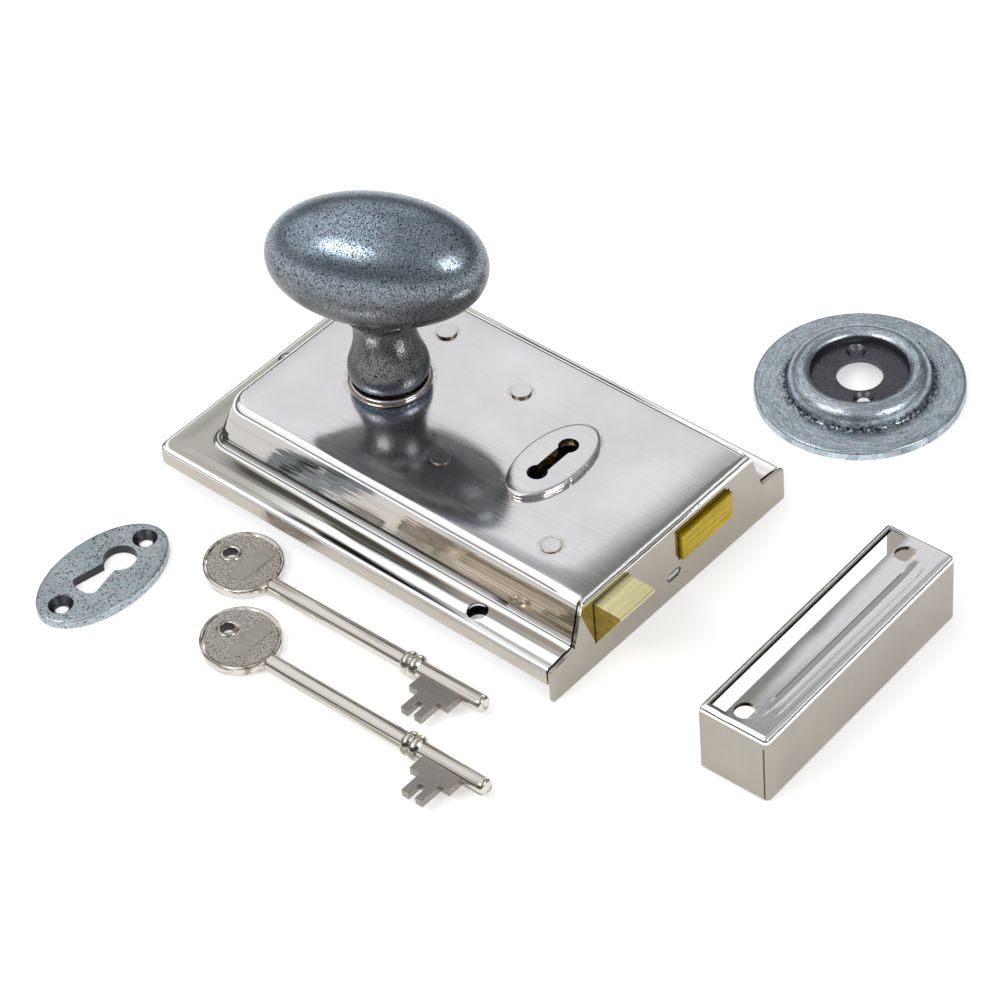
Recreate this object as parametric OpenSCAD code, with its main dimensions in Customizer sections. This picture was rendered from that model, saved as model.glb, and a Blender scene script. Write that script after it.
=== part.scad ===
// Rim box lock set: a folded case with a latch and a deadbolt, a knob, a keep,
// a rose, an escutcheon and two keys.
// Millimetres. The origin is the centre of the case on the door plane,
// +X points to the forend, +Z out of the door.

/* [Case] */

// Case length, from the left end to the forend
case_l = 152; // [150:1:160]
// Case width
case_w = 102; // [100:1:110]
// Case depth, from the door plane to the top face
case_h = 21.6; // [21.4:0.1:23]
// Sheet thickness of the case
sheet = 1.2; // [1:0.1:1.4]
// Height of the flange above the door plane
flange_z = 6.2; // [6:0.1:6.6]
// Distance from a case edge to the foot of the slope
flange_w = 10.7; // [9.8:0.1:10.9]
// Distance from a long edge to the edge of the top face
top_inset = 14.6; // [14:0.1:15]
// How far the forend reaches below the door plane
tail = 6; // [4:0.5:6]
// Diameter of the fixing holes in the flange
screw_d = 6.2; // [4:0.1:6.4]
// Distance of the fixing holes from the long edges
screw_edge = 5.6; // [5:0.1:6]
// Distance from the forend to the fixing holes in the long edges
screw_back = 31.5; // [16:0.5:56]
// Distance from the forend to the key axis
backset = 42; // [41.8:0.1:42.2]

/* [Knob] */

// Distance from the left end of the case to the spindle
spindle_in = 48.3; // [47.8:0.1:48.8]
// Width across the flats of the square spindle
spindle_sq = 7.6; // [7:0.1:7.8]
// Half length of the egg shaped knob head
knob_a = 32.6; // [28:0.2:34]
// Half width of the knob head
knob_b = 19.3; // [17:0.1:20]
// Height of the knob head centre above the door plane
knob_z = 65.7; // [64:0.1:68]
// Turn of the knob head about the spindle
knob_turn = 26; // [0:1:45]

/* [Bolts] */

// Latch length beyond the forend
latch_out = 9.7; // [8:0.1:9.7]
// Deadbolt length beyond the forend at rest
deadbolt_out = 1.5; // [1:0.1:3]
// Side clearance between a bolt and its opening
bolt_gap = 0.3; // [0.2:0.05:0.5]
// Thickness of a lever
lever_t = 1; // [0.8:0.1:1.1]

/* [Keys] */

// Diameter of the key shaft
key_d = 5.3; // [4.6:0.1:5.5]
// Reach of the longest key step from the shaft centre
key_reach = 14.8; // [13:0.1:14.8]
// Thickness of the key bit
bit_t = 2.5; // [2:0.1:2.8]

/* [Keep] */

// Keep width along X
keep_x = 22.3; // [20:0.1:26]
// Keep length along Y
keep_y = 86.1; // [84:0.1:92]
// Keep height
keep_z = 23.8; // [22:0.1:26]
// Sheet thickness of the keep
keep_t = 1.3; // [1:0.1:1.5]
// Diameter of the keep screw holes
keep_hole_d = 5.9; // [4:0.1:6]

/* [Rose] */

// Rose radius
rose_r = 31.4; // [29:0.1:34]
// Radius of the rose screw circle
rose_screw_r = 10.6; // [10.3:0.1:10.8]
// Diameter of the centre hole of the rose
rose_bore = 13.9; // [12:0.1:14]

/* [Escutcheon] */

// Half length of the escutcheon along Y
esc_a = 23.1; // [22:0.1:26]
// Half width of the escutcheon along X
esc_b = 13.9; // [13:0.1:16]
// Thickness of the escutcheon
esc_t = 3; // [2.5:0.1:4]
// Distance between the two escutcheon screw holes
esc_screws = 33.8; // [33:0.1:34.5]

/* [Hidden] */

fit = 0.03;
run = 0.05;
slack = 0.3;
half_l = case_l / 2;
half_w = case_w / 2;
spindle_x = -half_l + spindle_in;
key_x = half_l - backset;
screw_x = half_l - screw_back;
foot_y = half_w - flange_w;
top_y = half_w - top_inset;
slope = foot_y - top_y;
top_r = 6.4;
foot_r = top_r + slope;
top_x = -half_l + 16.5;
corner_x = top_x + top_r;
corner_y = top_y - top_r;
forend_in = half_l - sheet;
seam = 0.6;
wall_end = forend_in - seam;
inner_z = case_h - sheet;
floor_z = -tail;
plate_t = 1.5;
plate_gap = 0.3;
lug_l = 6.8;
slot_y = 1.5;
slot_z = 1.9;
slot_r = 1.5;
slot_half = 1.6;
screw_y = half_w - screw_edge;
end_screw_x = -half_l + 5;
post_r = 2;
post_body_r = 3;
post_neck_r = 2;
head_r = 3;
head_h = 1;
lever_post = [key_x - 61.5, 24.5];
guide_post = [key_x - 26.9, 17.8];
spacer_post = [key_x - 26.9, -17];
latch_post = [half_l - 20.9, -25.1];
tap_r = 1.3;
cap_screw_l = 5;
cap_head_r = 2.6;
cap_head_h = 0.9;
key_y = 0.5;
key_end = 6.8;
key_axis = [key_x, key_y - key_end];
keyhole_r = 3;
keyhole_w = 3.8;
plate_a = 17.4;
plate_b = 9.5;
plate_h = 1.7;
collar_r = 12.4;
collar_h = 1.3;
boss_r = 7.2;
boss_top = case_h + 2.2;
hub_r = 8.6;
hub_z = [4, 10];
horn_r = 13.9;
horn_tip = 2;
horn_z = [5.5, 8.5];
knob_foot_z = case_h + 2.3;
spindle_low = 0.3;
spindle_up = 43;
grub_z = 29;
grub_r = 2;
latch_y = [-32.6, -17.2];
latch_z = [2.1, 17.7];
latch_back = half_l - 8;
latch_join = 6;
latch_nose = 1;
bar_y = [-31, -19.5];
bar_z = [6, 8];
bar_w = 7.4;
bar_step = half_l - 30;
yoke_x = spindle_x - 9.8;
yoke_w = 5;
shoulder_x = spindle_x - horn_tip - slack;
arm_in = 10;
arm_out = 16;
latch_travel = 9.7;
dead_y = [3.7, 26.7];
dead_z = [5.8, 16.1];
dead_back = half_l - 24;
dead_join = 10;
dead_travel = 13;
dtail_z = [10.3, 12.3];
dtail_left = key_x - 46;
stump = [key_x - 15, 14.5];
stump_r = 1.8;
stump_up = 18.2;
rivet_r = 1.2;
lever_z = [12.9, 15.2, 16.6];
lever_lift = [3.1, 3.4, 3.2];
belly_r = [8.4, 12.2, 12];
lever_low = [0.6, 3.2, 3.2];
hub_lever_r = 5.5;
washer_r = 3.6;
spring_t = 0.5;
spring_x = lever_post[0] + 7.5;
spring_end = top_y - 0.9;

// Which node to build, or all of them

$fn = 64;

module at(p, z = 0) { translate([p[0], p[1], z]) children(); }

// Flat plan of the case, rounded at the left corners, square at the forend
module plan(inset, x_end, r = 3) {
  q = max(r - inset, 0.4);
  x0 = -half_l + inset;
  y0 = half_w - inset;
  translate([x0, -y0 + q]) square([x_end - x0, 2 * (y0 - q)]);
  translate([x0 + q, -y0]) square([x_end - x0 - q, 2 * y0]);
  for (s = [-1, 1]) translate([x0 + q, s * (y0 - q)]) circle(q);
}

// Raised part of the case with sloping sides, shrunk by t on every side
module raised(t, z0, x_end) {
  z1 = case_h - t;
  k = slope / (case_h - flange_z);
  f = (case_h - z0) * k - t;
  g = t * k - t;
  translate([corner_x, 0, 0]) rotate([90, 0, 90])
    linear_extrude(x_end - corner_x)
      polygon([[-top_y - f, z0], [top_y + f, z0], [top_y + g, z1], [-top_y - g, z1]]);
  translate([0, corner_y, 0]) rotate([90, 0, 0])
    linear_extrude(2 * corner_y)
      polygon([[top_x - f, z0], [corner_x + 1, z0], [corner_x + 1, z1], [top_x - g, z1]]);
  for (s = [-1, 1])
    translate([corner_x, s * corner_y, z0])
      cylinder(h = z1 - z0, r1 = top_r + f, r2 = top_r + g);
}

module forend_plan() {
  polygon([
    [-half_w, floor_z], [half_w, floor_z], [half_w, flange_z - 0.8],
    [half_w - 1, flange_z], [foot_y, flange_z], [top_y, case_h],
    [-top_y, case_h], [-foot_y, flange_z], [-half_w + 1, flange_z],
    [-half_w, flange_z - 0.8]
  ]);
}

module box_at(x, y, z) {
  translate([x[0], y[0], z[0]]) cube([x[1] - x[0], y[1] - y[0], z[1] - z[0]]);
}

module keyhole_shape(more = 0) {
  for (s = [-1, 1]) translate([key_x, key_y + s * key_end]) circle(keyhole_r + more);
  translate([key_x - keyhole_w / 2 - more, key_y - key_end])
    square([keyhole_w + 2 * more, 2 * key_end]);
}

module flange_screws() {
  for (s = [-1, 1]) translate([screw_x, s * screw_y]) circle(d = screw_d);
  translate([end_screw_x, 0]) circle(d = screw_d);
}

module case() {
  color([0.83, 0.82, 0.82]) difference() {
    union() {
      linear_extrude(flange_z - 0.6) plan(0, wall_end);
      translate([0, 0, flange_z - 0.7]) linear_extrude(0.7) plan(0.7, wall_end);
      raised(0, flange_z - 0.5, wall_end);
    }
    translate([0, 0, -1]) linear_extrude(flange_z - sheet + 1)
      plan(sheet, half_l + 5);
    raised(sheet, flange_z - sheet - 0.5, half_l + 5);
    translate([0, 0, flange_z - sheet - 1]) linear_extrude(3) flange_screws();
    translate([0, 0, inner_z - 1]) linear_extrude(4) keyhole_shape(0.4);
    for (p = [lever_post, guide_post, spacer_post, latch_post])
      at(p, inner_z - 1) cylinder(h = 4, r = post_neck_r + fit);
    translate([spindle_x, 0, inner_z - 1]) cylinder(h = 4, r = boss_r + run);
  }
}

// The front plate, with the lip that it turns back to meet the top.
module forend() {
  color([0.83, 0.82, 0.82]) difference() {
    union() {
      box_at([wall_end, half_l - sheet / 2], [-top_y, top_y], [inner_z, case_h]);
      translate([forend_in, 0, 0]) rotate([90, 0, 90])
        linear_extrude(sheet) forend_plan();
    }
    box_at([forend_in - 1, half_l + 1], latch_y, latch_z);
    box_at([forend_in - 1, half_l + 1], dead_y, dead_z);
    box_at([forend_in - 1, half_l + 1], [slot_y - slot_half, slot_y + slot_half],
      [slot_z - slot_r, slot_z + slot_r]);
    for (s = [-1, 1]) translate([forend_in - 1, slot_y + s * slot_half, slot_z])
      rotate([0, 90, 0]) cylinder(h = 4, r = slot_r);
  }
}

module back_plate() {
  color([0.78, 0.78, 0.79]) difference() {
    union() {
      linear_extrude(plate_t) plan(sheet + plate_gap, forend_in - 0.4);
      box_at([forend_in - lug_l, half_l - 0.3], [slot_y - 2.4, slot_y + 2.4], [plate_t - 0.4, 2.6]);
    }
    translate([0, 0, -1]) linear_extrude(4) flange_screws();
    translate([0, 0, -1]) linear_extrude(4) keyhole_shape(0.2);
    translate([spindle_x, 0, -1]) cylinder(h = 4, r = boss_r + run);
    for (p = [lever_post, spacer_post, latch_post]) {
      at(p, -1) cylinder(h = 4, r = tap_r + 0.15);
      at(p, -1) cylinder(h = 1 + cap_head_h + 0.05, r = cap_head_r + 0.1);
    }
  }
}

module cap_screws() {
  color([0.6, 0.6, 0.62])
    for (p = [lever_post, spacer_post, latch_post]) at(p, 0) difference() {
      union() {
        translate([0, 0, 0.05]) cylinder(h = cap_head_h, r = cap_head_r);
        translate([0, 0, 0.1]) cylinder(h = cap_screw_l, r = tap_r);
      }
      box_at([-3, 3], [-0.35, 0.35], [-1, 0.5]);
    }
}

module oval(a, b, n = 72) {
  polygon([for (i = [0:n - 1]) [b * cos(i * 360 / n), a * sin(i * 360 / n)]]);
}

module keyhole_plate() {
  color([0.84, 0.84, 0.86]) difference() {
    union() {
      translate([key_x, key_y, case_h + fit]) linear_extrude(plate_h - 0.5)
        oval(plate_a, plate_b);
      translate([key_x, key_y, case_h + fit]) linear_extrude(plate_h)
        oval(plate_a - 0.5, plate_b - 0.5);
    }
    translate([0, 0, case_h - 1]) linear_extrude(4) keyhole_shape();
    for (s = [-1, 1], y = [-3.6, 3.6])
      translate([key_x + s * (plate_b - 0.5) - 0.5, key_y + y - 0.3, case_h - 1])
        cube([1, 0.6, 4]);
  }
}

// Riveted post: a head on the case top, a neck through the sheet, a body below
module post(p, z0, body_r, low_r, low_z, tapped) {
  color([0.8, 0.8, 0.82]) at(p, 0) difference() {
    union() {
      translate([0, 0, case_h + fit]) cylinder(h = head_h - 0.25, r = head_r);
      translate([0, 0, case_h + fit]) cylinder(h = head_h, r = head_r - 0.3);
      translate([0, 0, inner_z - 1]) cylinder(h = sheet + 1.5, r = post_neck_r);
      translate([0, 0, low_z]) cylinder(h = inner_z - fit - low_z, r = body_r);
      translate([0, 0, z0]) cylinder(h = inner_z - 0.5 - z0, r = low_r);
    }
    if (tapped) translate([0, 0, z0 - 1]) cylinder(h = cap_screw_l + 1.2, r = tap_r + fit);
  }
}

module lever_pivot_post() {
  difference() {
    union() {
      post(lever_post, plate_t + fit, post_body_r, post_r, 17.9, false);
      color([0.8, 0.8, 0.82]) at(lever_post, plate_t + fit)
        cylinder(h = lever_z[0] - 0.4 - plate_t, r = post_body_r);
    }
    at(lever_post, 0) cylinder(h = cap_screw_l + 1, r = tap_r + fit);
  }
}

module bolt_guide_post() { post(guide_post, 9.8, post_r, post_r, 12, false); }
module spacer_post() { post(spacer_post, plate_t + fit, post_body_r, post_body_r, 12, true); }
module latch_guide_post() { post(latch_post, plate_t + fit, post_r, post_r, 12, true); }

module neck_collar() {
  color([0.8, 0.79, 0.76]) translate([spindle_x, 0, case_h + fit])
    rotate_extrude()
      polygon([
        [boss_r + 0.3, 0], [collar_r, 0], [collar_r, 0.6], [collar_r - 0.5, 1.1],
        [collar_r - 1, collar_h], [collar_r - 2.4, collar_h - 0.3], [boss_r + 0.3, 0.8]
      ]);
}

module lever_washers() {
  color([0.7, 0.7, 0.7]) {
    at(lever_post, lever_z[0] + lever_t + 0.05) difference() {
      cylinder(h = lever_z[1] - lever_z[0] - lever_t - 0.1, r = washer_r);
      translate([0, 0, -1]) cylinder(h = 4, r = post_r + fit);
    }
    at(lever_post, lever_z[1] + lever_t + 0.05) difference() {
      cylinder(h = lever_z[2] - lever_z[1] - lever_t - 0.1, r = washer_r);
      translate([0, 0, -1]) cylinder(h = 4, r = post_r + fit);
    }
  }
}

// Flat U spring between the case end and the latch yoke
u_left = -half_l + 16.8;
u_r = (yoke_x - yoke_w - 0.1 - u_left) / 2;
u_x = u_left + u_r;
module latch_spring() {
  color([0.6, 0.62, 0.65]) {
    difference() {
      union() {
        translate([u_x, 10, 5.2]) rotate_extrude(angle = 180)
          translate([u_r - 0.6, 0]) square([0.6, 3.6]);
        box_at([u_x + u_r - 0.6, u_x + u_r], [-6, 10], [5.2, 8.8]);
        box_at([u_x - u_r, u_x - u_r + 0.6], [-26, 10], [5.2, 8.8]);
        box_at([u_x - u_r, u_x - u_r + 0.6], [-26, -20], [plate_t + fit, 8.8]);
        box_at([u_x - u_r, u_x - u_r + 7], [-26, -20], [plate_t + fit, plate_t + 0.63]);
      }
      translate([u_x - u_r + 3.8, -23, 0]) cylinder(h = 4, r = 1.03);
    }
  }
}

module spring_rivet() {
  color([0.7, 0.7, 0.7]) translate([u_x - u_r + 3.8, -23, 0]) {
    translate([0, 0, plate_t + fit]) cylinder(h = 1.3, r = 1);
    translate([0, 0, plate_t + 0.66]) cylinder(h = 0.7, r = 1.9);
  }
}

module follower() {
  color([0.72, 0.7, 0.6]) translate([spindle_x, 0, 0]) difference() {
    union() {
      translate([0, 0, 0.2]) cylinder(h = boss_top - 0.2, r = boss_r);
      translate([0, 0, hub_z[0]]) cylinder(h = hub_z[1] - hub_z[0], r = hub_r);
      for (s = [-1, 1]) {
        translate([0, s * horn_r, horn_z[0]])
          cylinder(h = horn_z[1] - horn_z[0], r = horn_tip);
        translate([-horn_tip, min(0, s * horn_r), horn_z[0]])
          cube([2 * horn_tip, horn_r, horn_z[1] - horn_z[0]]);
      }
    }
    translate([-spindle_sq / 2 - run, -spindle_sq / 2 - run, -1])
      cube([spindle_sq + 2 * run, spindle_sq + 2 * run, 30]);
  }
}

module spindle() {
  color([0.5, 0.5, 0.52])
    translate([spindle_x - spindle_sq / 2, -spindle_sq / 2, spindle_low])
      cube([spindle_sq, spindle_sq, spindle_up - spindle_low]);
}

// Power of the head outline: 1 is an ellipse, less is fuller at the ends
blunt = 0.94;
neck = [
  [0, 0], [11.2, 0], [11.75, 0.9], [12.05, 2.6], [12, 4], [11.6, 6], [10.9, 8.2],
  [10.1, 10.6], [9.5, 12.8], [9.15, 15], [9.1, 17], [9.3, 19.5], [9.7, 22],
  [10.4, 24.4], [0, 30]
];
module knob() {
  color([0.42, 0.48, 0.52]) difference() {
    union() {
      translate([spindle_x, 0, knob_foot_z]) rotate_extrude() polygon(neck);
      translate([spindle_x, 0, knob_z]) rotate([0, 0, knob_turn]) rotate([0, 90, 0])
        rotate_extrude()
          polygon([
            for (i = [0:48])
              [knob_b * pow(max(0, sin(i * 3.75)), blunt), knob_a * cos(i * 3.75)]
          ]);
    }
    translate([spindle_x - spindle_sq / 2 - run, -spindle_sq / 2 - run, knob_foot_z - 1])
      cube([spindle_sq + 2 * run, spindle_sq + 2 * run, spindle_up + 1.2 - knob_foot_z]);
    translate([spindle_x, 0, grub_z]) rotate([0, 0, 180]) rotate([0, 90, 0])
      cylinder(h = 20, r = grub_r + fit);
  }
}

module grub_screw() {
  color([0.3, 0.3, 0.32]) translate([spindle_x, 0, grub_z]) rotate([0, 0, 180])
    rotate([0, 90, 0]) difference() {
      translate([0, 0, spindle_sq / 2 + fit]) cylinder(h = 7, r = grub_r);
      translate([0, 0, 8.8]) cylinder(h = 3, r = 1.1, $fn = 6);
    }
}

module latch_bolt() {
  x1 = half_l + latch_out;
  y = [latch_y[0] + bolt_gap, latch_y[1] - bolt_gap];
  z0 = latch_z[0] + bolt_gap;
  z1 = latch_z[1] - bolt_gap;
  color([0.78, 0.72, 0.42]) difference() {
    translate([0, y[1], 0]) rotate([90, 0, 0]) linear_extrude(y[1] - y[0])
      polygon([
        [latch_back, z0], [half_l + 0.3, z0], [x1, z1 - latch_nose], [x1, z1],
        [latch_back, z1]
      ]);
    box_at([latch_back - 1, latch_back + latch_join + run], [-40, -10], [bar_z[0] - run, bar_z[1] + run]);
    for (q = [-29, -21]) translate([latch_back + 3.4, q, 0])
      cylinder(h = 30, r = rivet_r + fit);
  }
}

module latch_bar() {
  xs = latch_post[0];
  color([0.66, 0.66, 0.67]) translate([0, 0, bar_z[0]]) difference() {
    linear_extrude(bar_z[1] - bar_z[0]) difference() {
      union() {
        translate([bar_step, bar_y[0]])
          square([latch_back + latch_join - bar_step, bar_y[1] - bar_y[0]]);
        translate([yoke_x - yoke_w, bar_y[0]])
          square([bar_step + 1.5 - yoke_x + yoke_w, bar_w]);
        translate([yoke_x - yoke_w, bar_y[0]]) square([yoke_w, arm_out - bar_y[0]]);
        for (s = [-1, 1])
          translate([yoke_x - 1, s > 0 ? arm_in : -arm_out])
            square([shoulder_x - yoke_x + 1, arm_out - arm_in]);
      }
      translate([xs - 0.3, latch_post[1] - post_r - 0.25])
        square([latch_travel + 0.6, 2 * post_r + 0.5]);
      for (d = [-0.3, latch_travel + 0.3])
        translate([xs + d, latch_post[1]]) circle(post_r + 0.25);
      for (q = [-29, -21]) translate([latch_back + 3.4, q]) circle(rivet_r + fit);
    }
  }
}

module latch_rivets() {
  color([0.7, 0.7, 0.7]) for (q = [-29, -21])
    translate([latch_back + 3.4, q, latch_z[0] + bolt_gap])
      cylinder(h = latch_z[1] - latch_z[0] - 2 * bolt_gap, r = rivet_r);
}

module deadbolt() {
  x1 = half_l + deadbolt_out;
  y = [dead_y[0] + bolt_gap, dead_y[1] - bolt_gap];
  z = [dead_z[0] + bolt_gap, dead_z[1] - bolt_gap];
  color([0.72, 0.62, 0.2]) difference() {
    union() {
      box_at([dead_back, x1 - 0.3], y, z);
      box_at([dead_back, x1], [y[0] + 0.3, y[1] - 0.3], [z[0] + 0.3, z[1] - 0.3]);
    }
    box_at([dead_back - 1, dead_back + dead_join + run], [0, 30], [dtail_z[0] - run, dtail_z[1] + run]);
    for (q = [9, 21]) translate([dead_back + 5, q, 0]) cylinder(h = 30, r = rivet_r + fit);
  }
}

module deadbolt_tail() {
  y0 = 9;
  color([0.66, 0.66, 0.67]) translate([0, 0, dtail_z[0]])
    linear_extrude(dtail_z[1] - dtail_z[0]) difference() {
      union() {
        translate([dtail_left, y0]) square([dead_back + dead_join - dtail_left, 15.5]);
        for (x = [-17, -2.5]) translate([key_x + x, 4.5]) square([6.5, 6]);
      }
      translate([guide_post[0] - dead_travel - 0.3, guide_post[1] - post_r - 0.25])
        square([dead_travel + 0.6, 2 * post_r + 0.5]);
      for (d = [-dead_travel - 0.3, 0.3])
        translate([guide_post[0] + d, guide_post[1]]) circle(post_r + 0.25);
      translate(stump) circle(stump_r + fit);
      for (q = [9, 21]) translate([dead_back + 5, q]) circle(rivet_r + fit);
      translate([dead_back - 2, -1]) square([14, 10.02]);
    }
}

module deadbolt_rivets() {
  color([0.7, 0.7, 0.7]) for (q = [9, 21])
    translate([dead_back + 5, q, dead_z[0] + bolt_gap])
      cylinder(h = dead_z[1] - dead_z[0] - 2 * bolt_gap, r = rivet_r);
}

module bolt_stump() {
  color([0.7, 0.7, 0.7]) at(stump, dtail_z[0]) cylinder(h = stump_up - dtail_z[0], r = stump_r);
}

// Path of the stump as the lever sees it, at share s of the throw
function seen(lift, s) =
  let (a = -lift * s, d = [stump[0] + dead_travel * s - lever_post[0], stump[1] - lever_post[1]])
  [lever_post[0] + d[0] * cos(a) - d[1] * sin(a), lever_post[1] + d[0] * sin(a) + d[1] * cos(a)];

module lever(i) {
  p0 = seen(lever_lift[i], 0);
  p1 = seen(lever_lift[i], 1);
  d = p1 - p0;
  gate = stump_r + slack;
  color([0.75, 0.68, 0.4]) translate([0, 0, lever_z[i]]) difference() {
    union() {
      at(lever_post) cylinder(h = lever_t, r = hub_lever_r);
      translate([key_x, 0, 0]) linear_extrude(lever_t) polygon([
        [-64, 29.2], [-61.5, 29.6], [-42, 28.6], [-8, 26], [9, 21], [11.8, 9],
        [11.8, lever_low[i]], [-11.8, lever_low[i]], [-13.5, 7], [-32, 9.5],
        [-61.5, 19.3], [-64, 20]
      ]);
    }
    at(lever_post, -1) cylinder(h = 3, r = post_r + run);
    at(key_axis, -1) cylinder(h = 3, r = belly_r[i]);
    at(guide_post, -1) cylinder(h = 3, r = 4.7);
    at(p0, -1) rotate(atan2(d[1], d[0])) translate([0, -gate, 0])
      cube([norm(d), 2 * gate, 3]);
    for (p = [p0, p1]) at(p, -1) cylinder(h = 3, r = gate);
    translate([p0[0] - gate, p0[1] - gate, -1]) cube([4.6, gate, 3]);
    translate([spring_x - 0.05, 26.4, -1]) cube([spring_t + 0.1, 6, 3]);
  }
}

module lever_spring(i) {
  color([0.6, 0.62, 0.65]) translate([0, 0, lever_z[i] + 0.05]) linear_extrude(lever_t - 0.1)
    translate([spring_x, 0]) polygon([
      [0, 26.5], [spring_t, 26.5], [spring_t, 30], [32, spring_end - spring_t - 0.1],
      [35, spring_end - spring_t], [35, spring_end], [32, spring_end - 0.1], [0, 30.5]
    ]);
}

module lever_1() { lever(0); }
module lever_2() { lever(1); }
module lever_3() { lever(2); }
module lever_spring_1() { lever_spring(0); }
module lever_spring_2() { lever_spring(1); }
module lever_spring_3() { lever_spring(2); }

rose_at = [65, 101.3];
rose_t = 3;
rose_h = 9.1;
ring_r = 17.4;
recess_r = 14.3;
recess_z = 6;
rose_screw_d = 3.4;
module rose() {
  color([0.45, 0.5, 0.54]) at(rose_at, floor_z) difference() {
    rotate_extrude()
      polygon([
        [rose_bore / 2, 0], [rose_r, 0], [rose_r, rose_t - 0.8], [rose_r - 0.6, rose_t - 0.2],
        [rose_r - 1.6, rose_t], [ring_r + 5.2, rose_t + 0.2], [ring_r + 4.5, rose_t + 0.6],
        [ring_r + 4.2, rose_t + 1.4], [ring_r + 4, rose_h - 3.7], [ring_r + 3.5, rose_h - 2.3],
        [ring_r + 2.6, rose_h - 1.1], [ring_r + 1.4, rose_h - 0.3], [ring_r, rose_h],
        [ring_r - 1.4, rose_h - 0.2], [recess_r + 0.6, rose_h - 0.9],
        [recess_r + 0.05, rose_h - 1.9], [recess_r, recess_z], [rose_bore / 2, recess_z]
      ]);
    for (a = [-47, 133]) rotate([0, 0, a]) translate([rose_screw_r, 0, 0]) {
      translate([0, 0, -1]) cylinder(h = 12, d = rose_screw_d);
      translate([0, 0, recess_z - 1.8])
        cylinder(h = 1.81, r1 = rose_screw_d / 2, r2 = rose_screw_d / 2 + 1.5);
    }
  }
}

esc_at = [-58.2, -92.2];
esc_hole = 7.1;
esc_hole_r = 5;
module escutcheon() {
  color([0.5, 0.55, 0.58]) at(esc_at, floor_z) difference() {
    union() {
      linear_extrude(esc_t - 0.6) oval(esc_a, esc_b);
      translate([0, 0, 0.1]) linear_extrude(esc_t - 0.35) oval(esc_a - 0.25, esc_b - 0.25);
      translate([0, 0, 0.2]) linear_extrude(esc_t - 0.2) oval(esc_a - 0.7, esc_b - 0.7);
    }
    translate([0, esc_hole, -1]) cylinder(h = 6, r = esc_hole_r);
    translate([0, 0, -1]) linear_extrude(6)
      polygon([[-2.3, 4], [2.3, 4], [2.5, 1.6], [4.4, -7.4], [3.6, -8.6], [0, -9.3],
               [-3.6, -8.6], [-4.4, -7.4], [-2.5, 1.6]]);
    for (s = [-1, 1]) translate([0, s * esc_screws / 2 + 0.3, -1]) {
      cylinder(h = 6, r = 2.1);
      translate([0, 0, esc_t - 0.4]) cylinder(h = 1.41, r1 = 2.1, r2 = 3.6);
    }
  }
}

key_axis_y = -66.2;
key_tilt = 1.76;
key_h = 2.62;
key_left = -41.3;
key_tip = 64.9;
tip_bevel = 0.7;
bow = [-28.3, 1.3];
bow_a = 11.7;
bow_b = 12.9;
bow_turn = -26.4;
bow_rim = 0.9;
rim_up = 0.35;
eye = [-34, 1.8];
eye_r = 2;
eye_ring = 1.5;
pad = [-25.6, 2.4];
pad_r = 2.8;
pad_half = 5;
shaft_left = -21;
bead_x = 35.8;
bead_r = 3.75;
bit_x = [43.6, 57.8];
bit_y = 7.5;
step_x = [47.3, 54.7];
step_y = 10.1;
prong_w = 2.5;

// Two beads round the shaft
module beads() {
  r = key_d / 2;
  rotate_extrude()
    polygon([
      [0, 0], [r - 0.05, 0], [bead_r - 0.45, 0.5], [bead_r - 0.1, 1.3], [bead_r - 0.45, 2.2],
      [bead_r - 0.85, 2.7], [bead_r - 0.35, 3.2], [bead_r, 4.2], [bead_r - 0.35, 5.2],
      [r - 0.05, 5.8], [0, 5.8]
    ]);
}

module key_bit() {
  translate([0, 0, -bit_t / 2]) linear_extrude(bit_t) {
    translate([bit_x[0], -bit_y]) square([bit_x[1] - bit_x[0], bit_y]);
    translate([step_x[0], -step_y]) square([step_x[1] - step_x[0], step_y]);
    for (x = [step_x[0], step_x[1] - prong_w])
      translate([x, -key_reach]) square([prong_w, key_reach - bit_y + 0.7]);
  }
}

// Key with its shaft along X, bow at the left, bit towards -Y
module key() {
  half = key_h / 2;
  shaft_end = key_tip - tip_bevel;
  color([0.72, 0.7, 0.66]) translate([key_left, key_axis_y, floor_z + half + 0.02])
    rotate([0, -key_tilt, 0]) translate([-key_left, 0, 0]) difference() {
      union() {
        at(bow, -half) rotate(bow_turn) linear_extrude(key_h) oval(bow_a, bow_b);
        at(bow) rotate(bow_turn) difference() {
          linear_extrude(half + rim_up) oval(bow_a, bow_b);
          translate([0, 0, -5]) linear_extrude(10) oval(bow_a - bow_rim, bow_b - bow_rim);
        }
        at(eye) cylinder(h = half + rim_up, r = eye_r + eye_ring);
        at(pad) linear_extrude(half + rim_up - 0.05) {
          translate([-pad_r, -pad_half]) square([2 * pad_r, 2 * pad_half]);
          for (s = [-1, 1]) translate([0, s * pad_half]) circle(pad_r);
        }
        translate([shaft_left, 0, 0]) rotate([0, 90, 0])
          cylinder(h = shaft_end - shaft_left, d = key_d);
        translate([shaft_end, 0, 0]) rotate([0, 90, 0])
          cylinder(h = tip_bevel, r1 = key_d / 2, r2 = key_d / 2 - tip_bevel);
        translate([bead_x, 0, 0]) rotate([0, 90, 0]) beads();
        key_bit();
      }
      at(eye, -5) cylinder(h = 10, r = eye_r);
    }
}
module key_1() { key(); }
module key_2() { translate([20.5, -22.3, 0]) key(); }

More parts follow.
